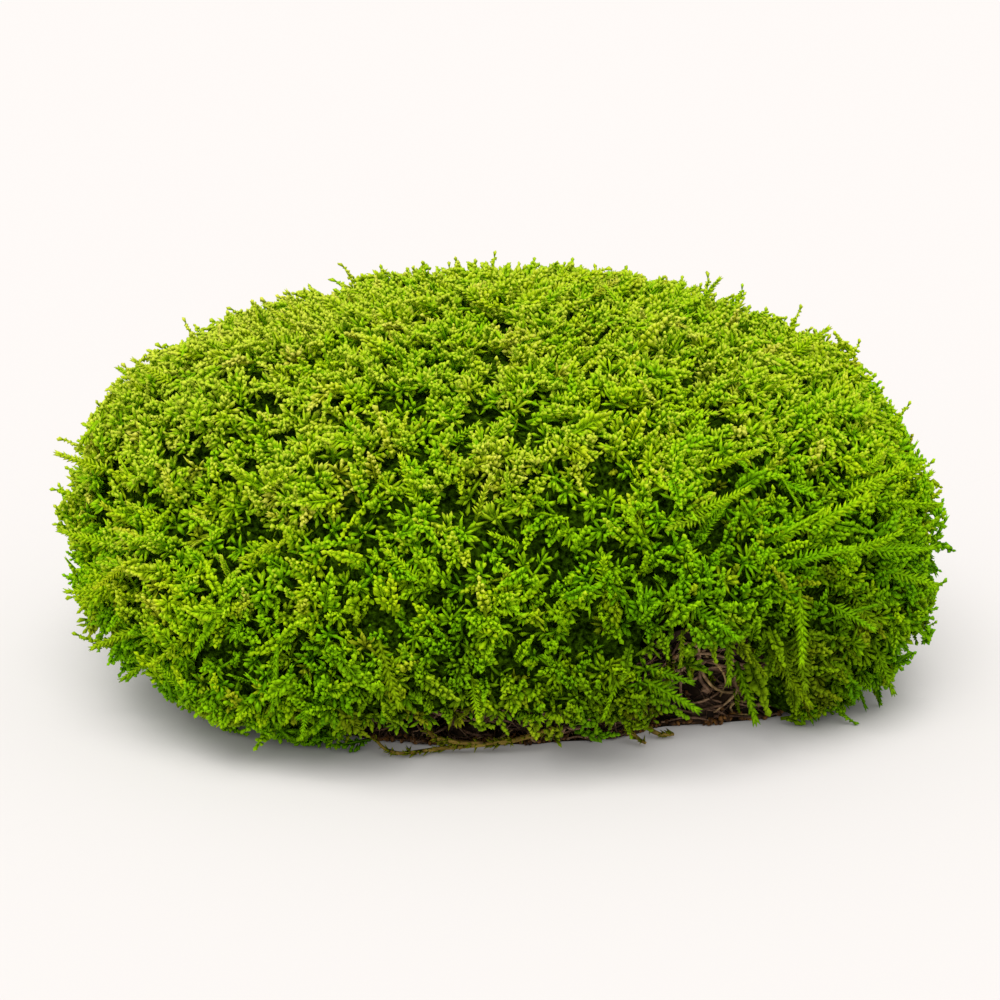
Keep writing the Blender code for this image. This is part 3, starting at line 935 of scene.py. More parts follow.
skirt_tips, skirt_ways = [], []
for turn in np.arange(-180, 180, SKIRT_STEP):
    turn += rng.normal(0, 0.4)
    out = np.array((math.cos(math.radians(turn)), math.sin(math.radians(turn)), 0.0))
    hit = first_hit(moss_tree, out * FAR + (0, 0, rng.uniform(4.0, 6.5)), -out)
    if hem_height(out[None])[0] > LOW_HEM or hit is None:
        continue
    foot = np.interp(turn, [row[0] for row in FOOT_LINE], [row[1] for row in FOOT_LINE])
    tip = out * min(math.hypot(hit[0], hit[1]) - rng.uniform(0.5, 4.0), foot + rng.uniform(-1.5, 0.4))
    tip[2] = rng.uniform(LOWEST_TIP, 2.2)
    skirt_tips.append(tip)
    skirt_ways.append(tip - hit + out * 2.2)
for turn in rng.uniform(APRON[0], APRON[1], APRON_COUNT):
    out = np.array((math.cos(math.radians(turn)), math.sin(math.radians(turn)), 0.0))
    height = rng.uniform(5.0, 13.0)
    root = out * (pad_edge(math.radians(turn), height) - 0.5) + (0, 0, height)
    way = out * rng.uniform(0.3, 1.6) + (0, 0, -rng.uniform(3.0, 5.5)) + rng.normal(0, 0.7, 3)
    tip = root + way
    tip[2] = max(tip[2], rng.uniform(0.8, 1.6))
    skirt_tips.append(tip)
    skirt_ways.append(tip - root)
print("skirt and apron:", len(skirt_tips), "shoots down to the floor")

# %% Join the three rows
SKIRT_LENGTH = 5.8  # of a shoot whose size is 1

skirt_ways = np.array(skirt_ways)
skirt_sizes = np.clip(np.linalg.norm(skirt_ways, axis=1) / SKIRT_LENGTH, 0.55, 1.10)
fringe_tips = np.vstack((fringe_tips, skirt_tips))
hang = np.vstack((hang, unit(skirt_ways)))
outward = unit(fringe_tips * (1, 1, 0))
fringe_tips[:, 2] = np.maximum(fringe_tips[:, 2], LOWEST_TIP)
fringe_face = unit(np.array((0, 0, 1.0)) + 0.9 * outward + 0.3 * rng.normal(size=hang.shape))
fringe_face = unit(fringe_face - hang * (fringe_face * hang).sum(axis=1)[:, None])
print("shoots along the hem and below it:", len(fringe_tips))

# %% [markdown]
# ## Shoots that the photograph shows one by one
#
# Some shoots catch the eye: the long feathers at the right, those that hang over the bare patch, and the
# spikes on the outline. Each starts on the skin where the photograph shows its root, and its tip lies on the
# line of sight of the tip's pixel, a millimetre nearer than the root. So it stands on the clump from any
# side, and not only from the camera's.

# %% Shoots placed by pixel
SINGLE_FRONDS = (  # where it starts and ends in pixels, which shoot, its tone, and how brown it is
    (684, 636, 680, 668, 11, 0.4, 0.6), (712, 634, 717, 664, 9, 0.5, 0.5),
    (724, 640, 728, 688, 11, 0.4, 0.4), (740, 642, 752, 664, 8, 0.6, 0.6),
    (752, 646, 768, 678, 10, 0.6, 0.5), (776, 660, 762, 688, 9, 0.4, 0.4),
    (664, 632, 668, 660, 7, 0.5, 0.3), (648, 690, 702, 713, 10, 0.5, 0.1),
    (652, 704, 690, 718, 9, 0.4, 0.2), (650, 676, 696, 684, 11, 0.3, 0.2),
    (786, 650, 790, 690, 11, 0.3, 0.5), (798, 640, 806, 694, 13, 0.4, 0.4),
    (774, 636, 784, 668, 9, 0.6, 0.3), (790, 690, 770, 716, 9, 0.3, 0.5),
    (800, 690, 796, 716, 8, 0.4, 0.4), (800, 596, 801, 670, 12, 0.75, 0.0),
    (768, 660, 813, 709, 12, 0.95, 0.35), (548, 578, 502, 614, 15, 0.7, 0.0),
    (886, 655, 895, 697, 11, 0.4, 0.2), (757, 688, 757, 727, 11, 0.5, 0.1),
    (300, 712, 301, 742, 10, 0.5, 0.1), (702, 300, 709, 272, 14, 0.6, 0.1),
    (735, 308, 744, 284, 15, 0.6, 0.1), (354, 288, 340, 262, 14, 0.7, 0.1),
    (790, 330, 803, 305, 14, 0.7, 0.0), (915, 545, 947, 512, 15, 0.7, 0.0),
    (920, 602, 948, 580, 14, 0.6, 0.0), (100, 602, 66, 596, 14, 0.8, 0.2),
    (105, 648, 72, 632, 15, 0.8, 0.3), (198, 343, 183, 317, 15, 0.8, 0.1),
    (264, 325, 254, 299, 14, 0.7, 0.0), (138, 392, 124, 362, 14, 0.8, 0.1),
    (490, 280, 497, 251, 15, 0.7, 0.0), (848, 362, 862, 340, 14, 0.7, 0.0),
    (80, 500, 50, 488, 15, 0.8, 0.1), (90, 450, 58, 436, 14, 0.8, 0.1),
    (770, 530, 826, 508, 12, 0.5, 0.0), (800, 575, 858, 548, 12, 0.4, 0.0),
    (818, 520, 872, 492, 10, 0.6, 0.0), (850, 480, 908, 462, 12, 0.6, 0.1),
    (712, 470, 762, 450, 10, 0.6, 0.0), (700, 505, 752, 487, 12, 0.6, 0.1),
    (690, 620, 742, 642, 10, 0.4, 0.0), (850, 545, 905, 530, 12, 0.6, 0.0),
    (835, 610, 878, 632, 10, 0.4, 0.1), (380, 640, 402, 712, 12, 0.9, 0.35),
    (395, 450, 376, 404, 14, 0.95, 0.45), (170, 500, 158, 462, 14, 0.9, 0.5),
    (640, 345, 668, 318, 7, 0.8, 0.2), (270, 540, 238, 560, 11, 0.8, 0.3),
    (120, 560, 92, 590, 12, 0.9, 0.4), (180, 640, 150, 668, 11, 0.8, 0.3),
    (620, 690, 602, 722, 11, 0.5, 0.1), (470, 690, 478, 722, 13, 0.6, 0.2),
    (560, 282, 566, 262, 15, 0.7, 0.0), (430, 282, 424, 260, 14, 0.7, 0.0),
    (905, 470, 936, 462, 14, 0.6, 0.0), (895, 425, 912, 402, 15, 0.7, 0.1),
    (925, 640, 938, 622, 14, 0.5, 0.2), (160, 690, 146, 672, 15, 0.6, 0.2),
    (100, 466, 53, 452, 12, 0.7, 0.1), (106, 538, 60, 530, 12, 0.6, 0.1),
    (106, 588, 62, 591, 10, 0.7, 0.2), (892, 500, 944, 504, 12, 0.5, 0.0),
    (892, 564, 941, 586, 12, 0.5, 0.1), (886, 532, 938, 546, 10, 0.6, 0.0),
    (300, 318, 264, 304, 12, 0.7, 0.1), (166, 376, 130, 358, 12, 0.7, 0.1),
    (700, 304, 722, 276, 12, 0.5, 0.1), (800, 348, 832, 326, 10, 0.6, 0.0),
    (128, 636, 88, 650, 10, 0.7, 0.3), (150, 664, 118, 682, 11, 0.6, 0.3),
)
TIP_NEARER = 1.0
ROOT_SUNK = 0.6

single_tips, single_along, single_face, single_sizes = [], [], [], []
toward_eye = -np.array(forward)
for x0, y0, x1, y1, kind, _, _ in SINGLE_FRONDS:
    root = seen_on_skin(x0, y0)
    ray = np.array(sight_line(x1, y1))
    depth = (root - eye_mm).dot(np.array(forward)) - TIP_NEARER
    tip = eye_mm + ray * depth / ray.dot(np.array(forward))
    tip[2] = max(tip[2], 0.5)
    root = root - toward_eye * ROOT_SUNK
    way = unit(tip - root)
    look = toward_eye + 0.35 * rng.normal(size=3)
    single_tips.append(tip)
    single_along.append(way)
    single_face.append(unit(look - way * look.dot(way)))
    single_sizes.append(np.linalg.norm(tip - root) / fronds[kind][3])
print("shoots placed by pixel:", len(single_tips), "of sizes", np.round(min(single_sizes), 2), "to",
      np.round(max(single_sizes), 2))

# %% [markdown]
# ## Size, bend, tone and painted light
#
# No two shoots are the same size or green. Young tips are pale and old parts deep green, and where the moss is
# dying back it is olive. Light and shade are painted in with the same numbers: shoots high on the clump and at
# its left are paler as painted light, and shoots in a fold, near the foot or at the lower right are darker as
# painted shade. These could be left to textures, but a texture doesn't know where a shoot begins, so each
# shoot gets its own numbers here.

# %% Bring the shoots together
PATCH_SHARE = 0.12  # of the shoots over the bare patch that stay
BROWN_SHARE = 0.08

groups = np.repeat(np.arange(4), (len(tips), len(feather_tips), len(fringe_tips), len(single_tips)))
is_bush, is_feather, is_single = (groups == number for number in (0, 1, 3))
tips = np.vstack((tips, feather_tips, fringe_tips, single_tips))
along = np.vstack((along, feather_along, hang, single_along))
face = np.vstack((face, feather_face, fringe_face, single_face))
kinds = np.concatenate((kinds, feather_kinds, rng.choice(FEATHERS, len(fringe_tips), p=FEATHER_SHARES),
                        [row[4] for row in SINGLE_FRONDS]))
sizes = np.concatenate((sizes, rng.uniform(0.88, 1.18, len(feather_tips)),
                        rng.uniform(0.72, 1.0, len(fringe)), skirt_sizes, single_sizes))
count = len(tips)
bends = rng.uniform(-0.06, 0.16, count) * np.where(is_feather, 1, 0.4)
sways = rng.normal(0, 0.10, count)
print("shoots strewn and placed:", count)

# %% Tone and age, with painted light and shade


def painted_left_light_of(places):
    """0 in the middle of the clump and right of it, and 1 at its left end, which is lit the most; it sets the
    painted light there.
    """
    return np.clip((-12 - places[:, 0]) / 30, 0, 1)


painted_left_light = painted_left_light_of(tips)
# Tone is random, shifted a little towards yellow at the left and high up as painted light.
tones_and_painted_light = np.clip(rng.normal(0.36, 0.30, count) + 0.04 * painted_left_light
                + np.interp(tips[:, 2], (4, 16, 34, 56), (-0.04, -0.04, 0, 0.02)), 0, 1)
browns = np.where(rng.random(count) < BROWN_SHARE, rng.uniform(0.3, 0.8, count),
                  rng.uniform(0, 0.08, count))
for place, radius, value in zip(olive_places, olive_radii, olive_values):
    away = ((tips - place) ** 2).sum(axis=1) / (2 * radius ** 2)
    browns = np.maximum(browns, value * np.exp(-away) * rng.uniform(0.2, 1.1, count))
low = np.clip(1.2 - (tips[:, 2] - hem_height(tips)) / 5, 0, 1) * (hem_height(tips) > 2)
browns = np.clip(np.maximum(browns, low * rng.uniform(0.1, 0.9, count)), 0, 1)
tones_and_painted_light[is_single] = [row[5] for row in SINGLE_FRONDS]
browns[is_single] = [row[6] for row in SINGLE_FRONDS]
youths_and_painted_light = rng.normal(0.97, 0.09, count)
# Painted light and shade: shoots on mounds are paler, and those in hollows darker.
youths_and_painted_light[is_bush] += 0.14 * np.clip(bush_rises, -3.5, 0.8)
youths_and_painted_light[is_feather] += 0.14 * np.clip(feather_rises, -3.5, 0.8)
# Painted shade near the foot and painted light high on the clump.
youths_and_painted_light += np.interp(tips[:, 2], (2, 10, 24, 40, 58), (-0.49, -0.45, -0.21, 0.02, 0.16))
# Painted light at the left end.
youths_and_painted_light += 0.12 * painted_left_light
# Painted shade at the lower right, away from the light.
painted_right_shade = np.interp(tips[:, 0], (4, 18, 34, 50), (0.02, 0.35, 0.27, 0.18))
youths_and_painted_light -= painted_right_shade * np.clip((46 - tips[:, 2]) / 8, 0, 1)
youths_and_painted_light = np.clip(youths_and_painted_light, 0.35, 1.10)
# Painted light that lifts the old parts of shoots high on the clump and at its left.
painted_light_on_old_parts = np.interp(tips[:, 2], (14, 46, 58), (0.04, 0.38, 0.48)) + 0.20 * painted_left_light
kept = ~in_patch(tips) | is_single | (rng.random(count) < PATCH_SHARE)
tips, along, face, kinds, sizes = (rows[kept] for rows in (tips, along, face, kinds, sizes))
bends, sways, tones_and_painted_light = (rows[kept] for rows in (bends, sways, tones_and_painted_light))
browns, youths_and_painted_light, painted_light_on_old_parts = (rows[kept] for rows in (browns, youths_and_painted_light, painted_light_on_old_parts))
print("shoots in all:", len(tips), "of", count)

# %% A helper that grows the shoots
FLOOR_CLEARANCE = 0.12


def grow(kind, mine):
    """Copies of one shoot laid back from their tips: points, triangles and growth values."""
    points, faces, age, total = fronds[kind]
    number, size, bend, sway = int(mine.sum()), sizes[mine], bends[mine], sways[mine]
    share = points[:, 0] / total
    x = np.repeat(points[None, :, 0], number, axis=0)
    y = points[None, :, 1] + sway[:, None] * total * share ** 2
    z = points[None, :, 2] - bend[:, None] * total * share ** 2
    local = np.stack((x, y, z), axis=-1) * size[:, None, None]
    end = np.stack((np.full(number, total), sway * total, -bend * total), axis=-1) * size[:, None]
    matrix = np.stack((along[mine], np.cross(face[mine], along[mine]), face[mine]), axis=-1)
    placed = np.einsum("nij,nkj->nki", matrix, local - end[:, None, :]) + tips[mine][:, None, :]
    placed[:, :, 2] += np.maximum(FLOOR_CLEARANCE - placed[:, :, 2].min(axis=1, keepdims=True), 0)
    numbers = faces[None] + (np.arange(number) * len(points))[:, None, None]
    values = np.empty((number, len(points), 3))
    # The red value is the point's youth with its shoot's painted light and shade, plus painted light on old
    # parts.
    young = age[None, :, 0] * youths_and_painted_light[mine][:, None]
    values[:, :, 0] = np.minimum(young + painted_light_on_old_parts[mine][:, None] * (1 - age[None, :, 0]), 1)
    values[:, :, 1] = browns[mine][:, None]
    values[:, :, 2] = tones_and_painted_light[mine][:, None]
    return placed.reshape(-1, 3), numbers.reshape(-1, 3), values.reshape(-1, 3)


# %% [markdown]
# ## Joined shoots, in eight parts of the clump
#
# Thousands of separate objects would be slow to handle, so the copies are joined. One mesh for all of them
# would be too heavy to open, so the clump is parted by the side that its shoots stand on.

# %% Join the shoots
CROWN_HEIGHT = 49


def mesh_piece(name, points, triangles, growth=None):
    """A mesh object from arrays, with its growth values kept as a colour attribute."""
    mesh = bpy.data.meshes.new(name)
    mesh.vertices.add(len(points))
    mesh.vertices.foreach_set("co", (points * MM).astype(np.float32).ravel())
    mesh.loops.add(3 * len(triangles))
    mesh.loops.foreach_set("vertex_index", triangles.astype(np.int32).ravel())
    mesh.polygons.add(len(triangles))
    mesh.polygons.foreach_set("loop_start", np.arange(0, 3 * len(triangles), 3, dtype=np.int32))
    mesh.update(calc_edges=True)
    if growth is not None:
        layer = mesh.attributes.new("growth", "FLOAT_COLOR", "POINT")
        colors = np.column_stack((growth, np.ones(len(growth)))).astype(np.float32)
        layer.data.foreach_set("color", colors.ravel())
    obj = bpy.data.objects.new(name, mesh)
    bpy.context.collection.objects.link(obj)
    return obj


def sector_of(place):
    """Which part of the clump a tip belongs to."""
    x, y, z = place
    if z > CROWN_HEIGHT:
        return "crown_front" if y < 0 else "crown_back"
    turn = math.degrees(math.atan2(y, x)) % 360
    names = ("right", "back_right", "back_left", "left", "front_left", "front_right")
    return names[int(((turn + 30) % 360) // 60)]


sectors = np.array([sector_of(t) for t in tips])
moss_pieces = []
for sector in sorted(set(sectors)):
    parts = []
    for kind in range(len(fronds)):
        mine = (sectors == sector) & (kinds == kind)
        if mine.any():
            parts.append(grow(kind, mine))
    points, triangles, growth = join_arrays(parts)
    piece = mesh_piece(f"moss_fronds_{sector}", points, triangles, growth)
    moss_pieces.append(piece)
    print(piece.name, len(triangles), "triangles")
print("all shoots:", sum(len(p.data.polygons) for p in moss_pieces), "triangles")

# %% [markdown]
# ## The dark thatch behind the shoots
#
# Between the shoots one looks down on old growth that gets no light. It is too deep to read as leaves, so a
# bumpy body a few millimetres under the tips is enough, coloured nearly black as painted shade, and it keeps
# any light from showing through. The skin has the form already, so the skin itself is sunk to become the
# thatch.

# %% Thatch
THATCH_DEPTH = 3.6
THATCH_LUMP_SIZE = 2.2
THATCH_FLOOR = 2.0
PATCH_MARGIN = 1.35  # the thatch keeps clear of the bare patch swollen this much
PATCH_SHRINK = (0.68, 0.68, 1)

thatch = skin
thatch.name = "moss_thatch_painted_shade"
lumps = np.array([1.3 * noise.noise(Vector(p) / THATCH_LUMP_SIZE) - 0.7 * rise_at(p) for p in skin_points])
depth = THATCH_DEPTH + lumps
depth *= np.interp(skin_points[:, 2] - hem_height(skin_points), (0.5, 8), (0.55, 1))
depth[under] *= 0.3
sunk = skin_points - skin_normals * depth[:, None]
hem_margin = np.where(hem_height(skin_points) < LOW_HEM, -0.4, 1.0)
lowest = np.where(under, THATCH_FLOOR, hem_height(skin_points) + hem_margin)
sunk[:, 2] = np.maximum(sunk[:, 2], lowest)
sunk[in_patch(skin_points, PATCH_MARGIN)] *= PATCH_SHRINK
thatch.data.vertices.foreach_set("co", (sunk * MM).ravel())
thatch.data.update()
print("thatch:", len(thatch.data.polygons), "triangles")

# %% [markdown]
# ## Old shoots on the thatch
#
# Through the gaps one sees short old shoots, dim and in shade. They could be more bushes, but all that is
# seen of them is a point or two, so single slender barbs are strewn over the thatch, lying every way.

# %% Strew the old shoots
OLD_SHOOT_COUNT = 5200
OLD_LENGTH = 1.8
OLD_WIDTH = 0.34
# Old shoots stay low on the colour ramp, darker partly from age and partly as painted shade.
OLD_TIP = 0.5  # an old shoot's tip is only half as young as a fresh one's


def copy_form(form, spots, ways, sizes, old=0.0, young=1.0):
    """Copies of one small form, standing at the spots along the ways: points, triangles, growth values."""
    points, faces = form
    side = unit(np.cross(ways, rng.normal(size=ways.shape)))
    matrix = np.stack((side, np.cross(ways, side), ways), axis=-1)
    placed = np.einsum("nij,nkj->nki", matrix, points[None] * sizes[:, None, None]) + spots[:, None]
    numbers = faces[None] + (np.arange(len(spots)) * len(points))[:, None, None]
    tip = np.clip(points[:, 2] / points[:, 2].max(), 0, 1)
    values = np.zeros((len(spots), len(points), 3))
    values[:, :, 0] = old + (young - old) * tip
    values[:, :, 2] = rng.random((len(spots), 1))
    return placed.reshape(-1, 3), numbers.reshape(-1, 3), values.reshape(-1, 3)


spots, spot_normals = strew(sunk, 5 * OLD_SHOOT_COUNT, 1.2)
above = (spots[:, 2] > hem_height(spots) + 0.6) & (np.arange(len(spots)) < OLD_SHOOT_COUNT)
spots, spot_normals = spots[above], spot_normals[above]
ways = unit(spot_normals + 1.1 * rng.normal(size=spots.shape))
ways += spot_normals * np.maximum(0.25 - (ways * spot_normals).sum(axis=1), 0)[:, None]
old_barb = arrays_of(model_barb("old_barb", OLD_LENGTH, OLD_WIDTH))
points, triangles, growth = copy_form(old_barb, spots - 0.2 * spot_normals, unit(ways),
                                      rng.uniform(0.8, 1.35, len(spots)), 0.0, OLD_TIP)
points[:, 2] = np.maximum(points[:, 2], FLOOR_CLEARANCE)
# Painted light: old shoots high on the clump and at its left are paler.
growth[:, 0] += np.interp(points[:, 2], (14, 46), (0.02, 0.30)) + 0.15 * painted_left_light_of(points)
old_shoots = mesh_piece("moss_old_shoots", points, triangles, growth)
moss_pieces.append(old_shoots)
print("old shoots:", len(spots), "with", len(triangles), "triangles")

# %% [markdown]
# ## The humus pad
#
# Under the hem lies a dark pad of rotted shoots. The solid of the pad has its pits already; it only lacks the
# crumbly surface. A copy of it is subdivided and its points are pushed in and out by a noise of clods and a
# finer noise of crumbs, while the flat base stays flat.

# %% Clods
CLOD_SIZE = 2.6
CRUMB_SIZE = 0.9
HOLE_DEPTH = 5.0
HOLES = (  # pixels across and down, and radius in pixels, of the dark holes between the dead stems
    (685, 664, 7), (711, 668, 7), (749, 677, 9), (775, 688, 11), (692, 694, 11), (738, 708, 9),
    (763, 643, 9), (722, 690, 6), (665, 722, 8), (640, 735, 6), (600, 728, 8), (575, 738, 6),
    (545, 730, 8), (515, 736, 7), (490, 728, 8), (462, 724, 7), (436, 726, 8), (408, 722, 7),
    (388, 716, 6), (800, 700, 6),
)


def merged_copy(node, name):
    """A copy of one solid whose loose triangles are joined again."""
    deselect_all()
    copy = bpy.data.objects.new(name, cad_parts[node].data.copy())
    bpy.context.collection.objects.link(copy)
    copy.data.materials.clear()
    copy.select_set(True)
    bpy.context.view_layer.objects.active = copy
    bpy.ops.object.mode_set(mode="EDIT")
    bpy.ops.mesh.select_all(action="SELECT")
    bpy.ops.mesh.remove_doubles(threshold=1e-6)
    bpy.ops.object.mode_set(mode="OBJECT")
    return copy


def holes_on_pad(rows):
    """Rows of pixel and radius as places on the pad's wall and radii in millimetres."""
    places, radii = [], []
    for across, down, radius in rows:
        hit = first_hit(pad_tree, eye_mm, sight_line(across, down))
        if hit is not None:
            places.append(hit)
            radii.append(radius * PIXEL)
    return np.array(places), np.array(radii)


hole_places, hole_radii = holes_on_pad(HOLES)
clods = merged_copy("humus_pad", "humus_clods")
bpy.ops.object.mode_set(mode="EDIT")
bpy.ops.mesh.select_all(action="SELECT")
bpy.ops.mesh.subdivide(number_cuts=2)
bpy.ops.object.mode_set(mode="OBJECT")
clod_points = points_of(clods)
clod_normals = np.zeros(len(clod_points) * 3)
clods.data.vertices.foreach_get("normal", clod_normals)
clod_normals = clod_normals.reshape(-1, 3)
for row, place in enumerate(clod_points):
    if place[2] > 0.25:
        rough = (0.9 * noise.noise(Vector(place) / CLOD_SIZE) + 0.5 * noise.noise(Vector(place) / CRUMB_SIZE)
                 - 0.35)
        clod_points[row] += clod_normals[row] * rough
        nearness = np.exp(-(((hole_places - place) ** 2).sum(axis=1) / hole_radii ** 2) ** 2)
        clod_points[row, :2] -= unit(place[:2]) * HOLE_DEPTH * nearness.max()
        clod_points[row, 2] = max(clod_points[row, 2], 0.1)
clods.data.vertices.foreach_set("co", (clod_points * MM).ravel())
clods.data.update()
clod_tree = tree_of(clods)
print("clods:", len(clods.data.polygons), "triangles")

# %% [markdown]
# ## The web of dead stems
#
# The wall of the pad is laced with dead stems, tan, pinkish and grey, which arch round the pits. Curves with
# a round profile would give them, but a tube laid straight along a wandering path needs fewer faces, and its
# path can be kept on the wall by shooting rays at the clods.

# %% Helpers for stems
LOWEST_STEM = 0.5
HIGHEST_STEM = 15.0
WANDER = 0.28  # how much a stem turns at each step, in radians
LOOSE_CLEARANCE = 0.05


def wall_point(azimuth, height, stand_off):
    """A place on the pad's wall, seen from outside, and a little in front of it."""
    out = np.array((math.cos(azimuth), math.sin(azimuth), 0.0))
    hit = first_hit(clod_tree, out * FAR + (0, 0, height), -out)
    if hit is None:
        return None
    return hit + out * stand_off


def smoothed(path, times=1):
    """A path as an array, with its kinks taken out."""
    path = np.array(path)
    for _ in range(times):
        path[1:-1] = (path[:-2] + 2 * path[1:-1] + path[2:]) / 4
    return path


def tube(path, radii, sides):
    """A closed tube along a path: points and triangles."""
    ways = unit(np.gradient(path, axis=0))
    side = unit(np.cross(ways, (0.3, 0.2, 1.0)))
    up = np.cross(ways, side)
    turns = np.arange(sides) * 2 * math.pi / sides
    rings = (path[:, None] + np.asarray(radii)[:, None, None]
             * (side[:, None] * np.cos(turns)[:, None] + up[:, None] * np.sin(turns)[:, None]))
    points = np.vstack((rings.reshape(-1, 3), path[:1], path[-1:]))
    faces = []
    count = len(path)
    for ring in range(count - 1):
        for k in range(sides):
            a, b = ring * sides + k, ring * sides + (k + 1) % sides
            faces += [(a, b, b + sides), (a, b + sides, a + sides)]
    for k in range(sides):
        faces.append((count * sides, (k + 1) % sides, k))
        last = (count - 1) * sides
        faces.append((count * sides + 1, last + k, last + (k + 1) % sides))
    return points, np.array(faces)


def stem_growth(points, tone, shade):
    """Growth values that are the same all along a stem."""
    return np.tile((tone, shade, 0.0), (len(points), 1))


def stem_on_wall(azimuth, height, heading, length, radius, arch, step=1.0):
    """A thin stem that wanders over the wall from one place, standing off it most in its middle."""
    steps = max(4, round(length / step))
    path = []
    for number in range(steps + 1):
        share = number / steps
        place = wall_point(azimuth, min(max(height, LOWEST_STEM), HIGHEST_STEM),
                           radius + arch * math.sin(math.pi * share))
        if place is None:
            break
        path.append(place)
        heading += rng.normal(0, WANDER)
        azimuth += step * math.cos(heading) / max(math.hypot(place[0], place[1]), 10)
        height += step * math.sin(heading)
    if len(path) < 4:
        return None
    path = smoothed(path)
    path[:, 2] = np.maximum(path[:, 2], radius + 0.05)
    points, faces = tube(path, radius * np.linspace(1.0, 0.6, len(path)), 3)
    return points, faces, stem_growth(points, rng.uniform(0.0, 0.7), rng.random())


# %% Thin stems all over the wall
WEB_COUNT = 260
FRONT_WEB_COUNT = 250
FRONT_TURNS = (-122, -31)  # degrees, where the hem leaves the wall bare
BACK_TURNS = (-20, 238)  # degrees
HIGH_WALL_TURNS = (-65, -28)  # degrees, where the hem is highest

stems = []
for number in range(WEB_COUNT):
    front = number < FRONT_WEB_COUNT
    azimuth = rng.uniform(*FRONT_TURNS) if front else rng.uniform(*BACK_TURNS)
    heading = rng.choice((0, math.pi)) + rng.normal(0, 0.7)
    top = 14 if HIGH_WALL_TURNS[0] < azimuth < HIGH_WALL_TURNS[1] else 8
    stem = stem_on_wall(math.radians(azimuth), rng.uniform(0.6, top), heading, rng.uniform(4, 11),
                        rng.uniform(0.14, 0.34), rng.uniform(0.0, 0.9))
    if stem:
        stems.append(stem)
print("thin stems:", len(stems))

# %% Stems that arch round the pits
PIT_RIMS = (  # azimuth in degrees, height and half width in mm of the holes that stems arch round
    (-108, 5.5, 2.6), (-93, 6.0, 2.2), (-78, 4.0, 2.8), (-63, 7.2, 2.6), (-55, 4.2, 2.8), (-48, 10.5, 2.4),
    (-41.5, 7.2, 2.8), (-36, 4.4, 2.4), (-31, 8.2, 2.4),
)
WALL_RADIUS = 47
ARCH_TURN = 2.6  # how far each stem goes round its pit, in radians

for azimuth, height, half in PIT_RIMS:
    for begin in (0.2, 2.3, 4.2):
        path = []
        begin += rng.normal(0, 0.3)
        for share in np.linspace(0, 1, 9):
            angle = begin + ARCH_TURN * share
            away = half * (1.05 + 0.12 * rng.normal())
            spot = wall_point(math.radians(azimuth) + away * math.cos(angle) / WALL_RADIUS,
                              max(height + away * math.sin(angle), 0.6), 0.35)
            if spot is not None:
                path.append(spot)
        if len(path) > 4:
            path = smoothed(path)
            radius = rng.uniform(0.28, 0.45)
            points, faces = tube(path, radius * np.linspace(1, 0.7, len(path)), 5)
            stems.append((points, faces, stem_growth(points, rng.uniform(0.45, 1.0), rng.random())))
print("with those round the pits:", len(stems))

# %% Stout stems that the photograph shows one by one
ROOTS = (  # radius in mm, tone, and the pixels that each stem runs through
    (0.315, 0.80, (676, 656), (690, 652), (708, 652), (724, 657), (738, 664), (746, 675), (742, 690)),
    (0.27, 0.65, (672, 658), (677, 672), (676, 690), (682, 706)),
    (0.30, 0.90, (698, 660), (700, 675), (708, 686), (722, 692), (740, 690)),
    (0.255, 0.85, (738, 664), (730, 676), (733, 690), (722, 702), (712, 712)),
    (0.225, 0.70, (680, 704), (700, 700), (716, 690), (728, 680)),
    (0.225, 0.95, (748, 702), (734, 699), (724, 705), (730, 714), (746, 714)),
    (0.21, 0.60, (660, 724), (676, 716), (694, 716), (708, 720)),
    (0.24, 0.75, (760, 662), (764, 676), (760, 692), (768, 706)),
    (0.195, 0.95, (705, 655), (716, 666), (722, 680), (718, 696)),
    (0.225, 0.55, (640, 742), (656, 732), (672, 732), (690, 726)),
    (0.21, 0.90, (452, 712), (466, 720), (482, 716), (500, 722), (512, 732)),
    (0.195, 0.95, (470, 742), (482, 734), (498, 738), (510, 728), (528, 724)),
    (0.21, 0.80, (520, 714), (532, 724), (530, 738), (540, 744)),
    (0.195, 0.70, (556, 720), (570, 728), (586, 724), (600, 716)),
    (0.195, 0.85, (400, 712), (416, 718), (424, 730), (440, 736)),
    (0.18, 0.75, (560, 744), (576, 734), (596, 738), (612, 730)),
)

for radius, tone, *pixels in ROOTS:
    pixels = np.array(pixels, float)
    along_it = np.linspace(0, len(pixels) - 1, 4 * len(pixels))
    path = []
    for number, where in enumerate(along_it):
        across, down = (np.interp(where, np.arange(len(pixels)), pixels[:, side]) for side in (0, 1))
        hit = first_hit(clod_tree, eye_mm, sight_line(across, down))
        if hit is not None:
            rise = 0.2 + 0.7 * math.sin(math.pi * number / len(along_it))
            level = hit * (1, 1, 0)
            path.append(level + unit(level) * rise + (0, 0, max(hit[2], LOWEST_STEM)))
    if len(path) > 5:
        path = smoothed(path, 3)
        radii = radius * np.linspace(1, 0.65, len(path)) * rng.uniform(0.8, 1.25, len(path))
        points, faces = tube(path, radii, 5)
        stems.append((points, faces, stem_growth(points, tone, tone)))
points, triangles, growth = join_arrays(stems)
dead_stems = mesh_piece("humus_dead_stems", points, triangles, growth)
print("dead stems:", len(stems), "stems,", len(triangles), "triangles")

# %% [markdown]
# ## Rhizoids
#
# Hair-fine brown rhizoids hang between the dead stems, most of them downwards. They could be a fur of curves,
# but a few hundred are enough, so the helper that lays the thin stems lays them too, only finer.

# %% Rhizoids
RHIZOIDS_TRIED = 220
RHIZOID_TURNS = (-125, -20)  # degrees
DOWNWARD = -math.pi / 2

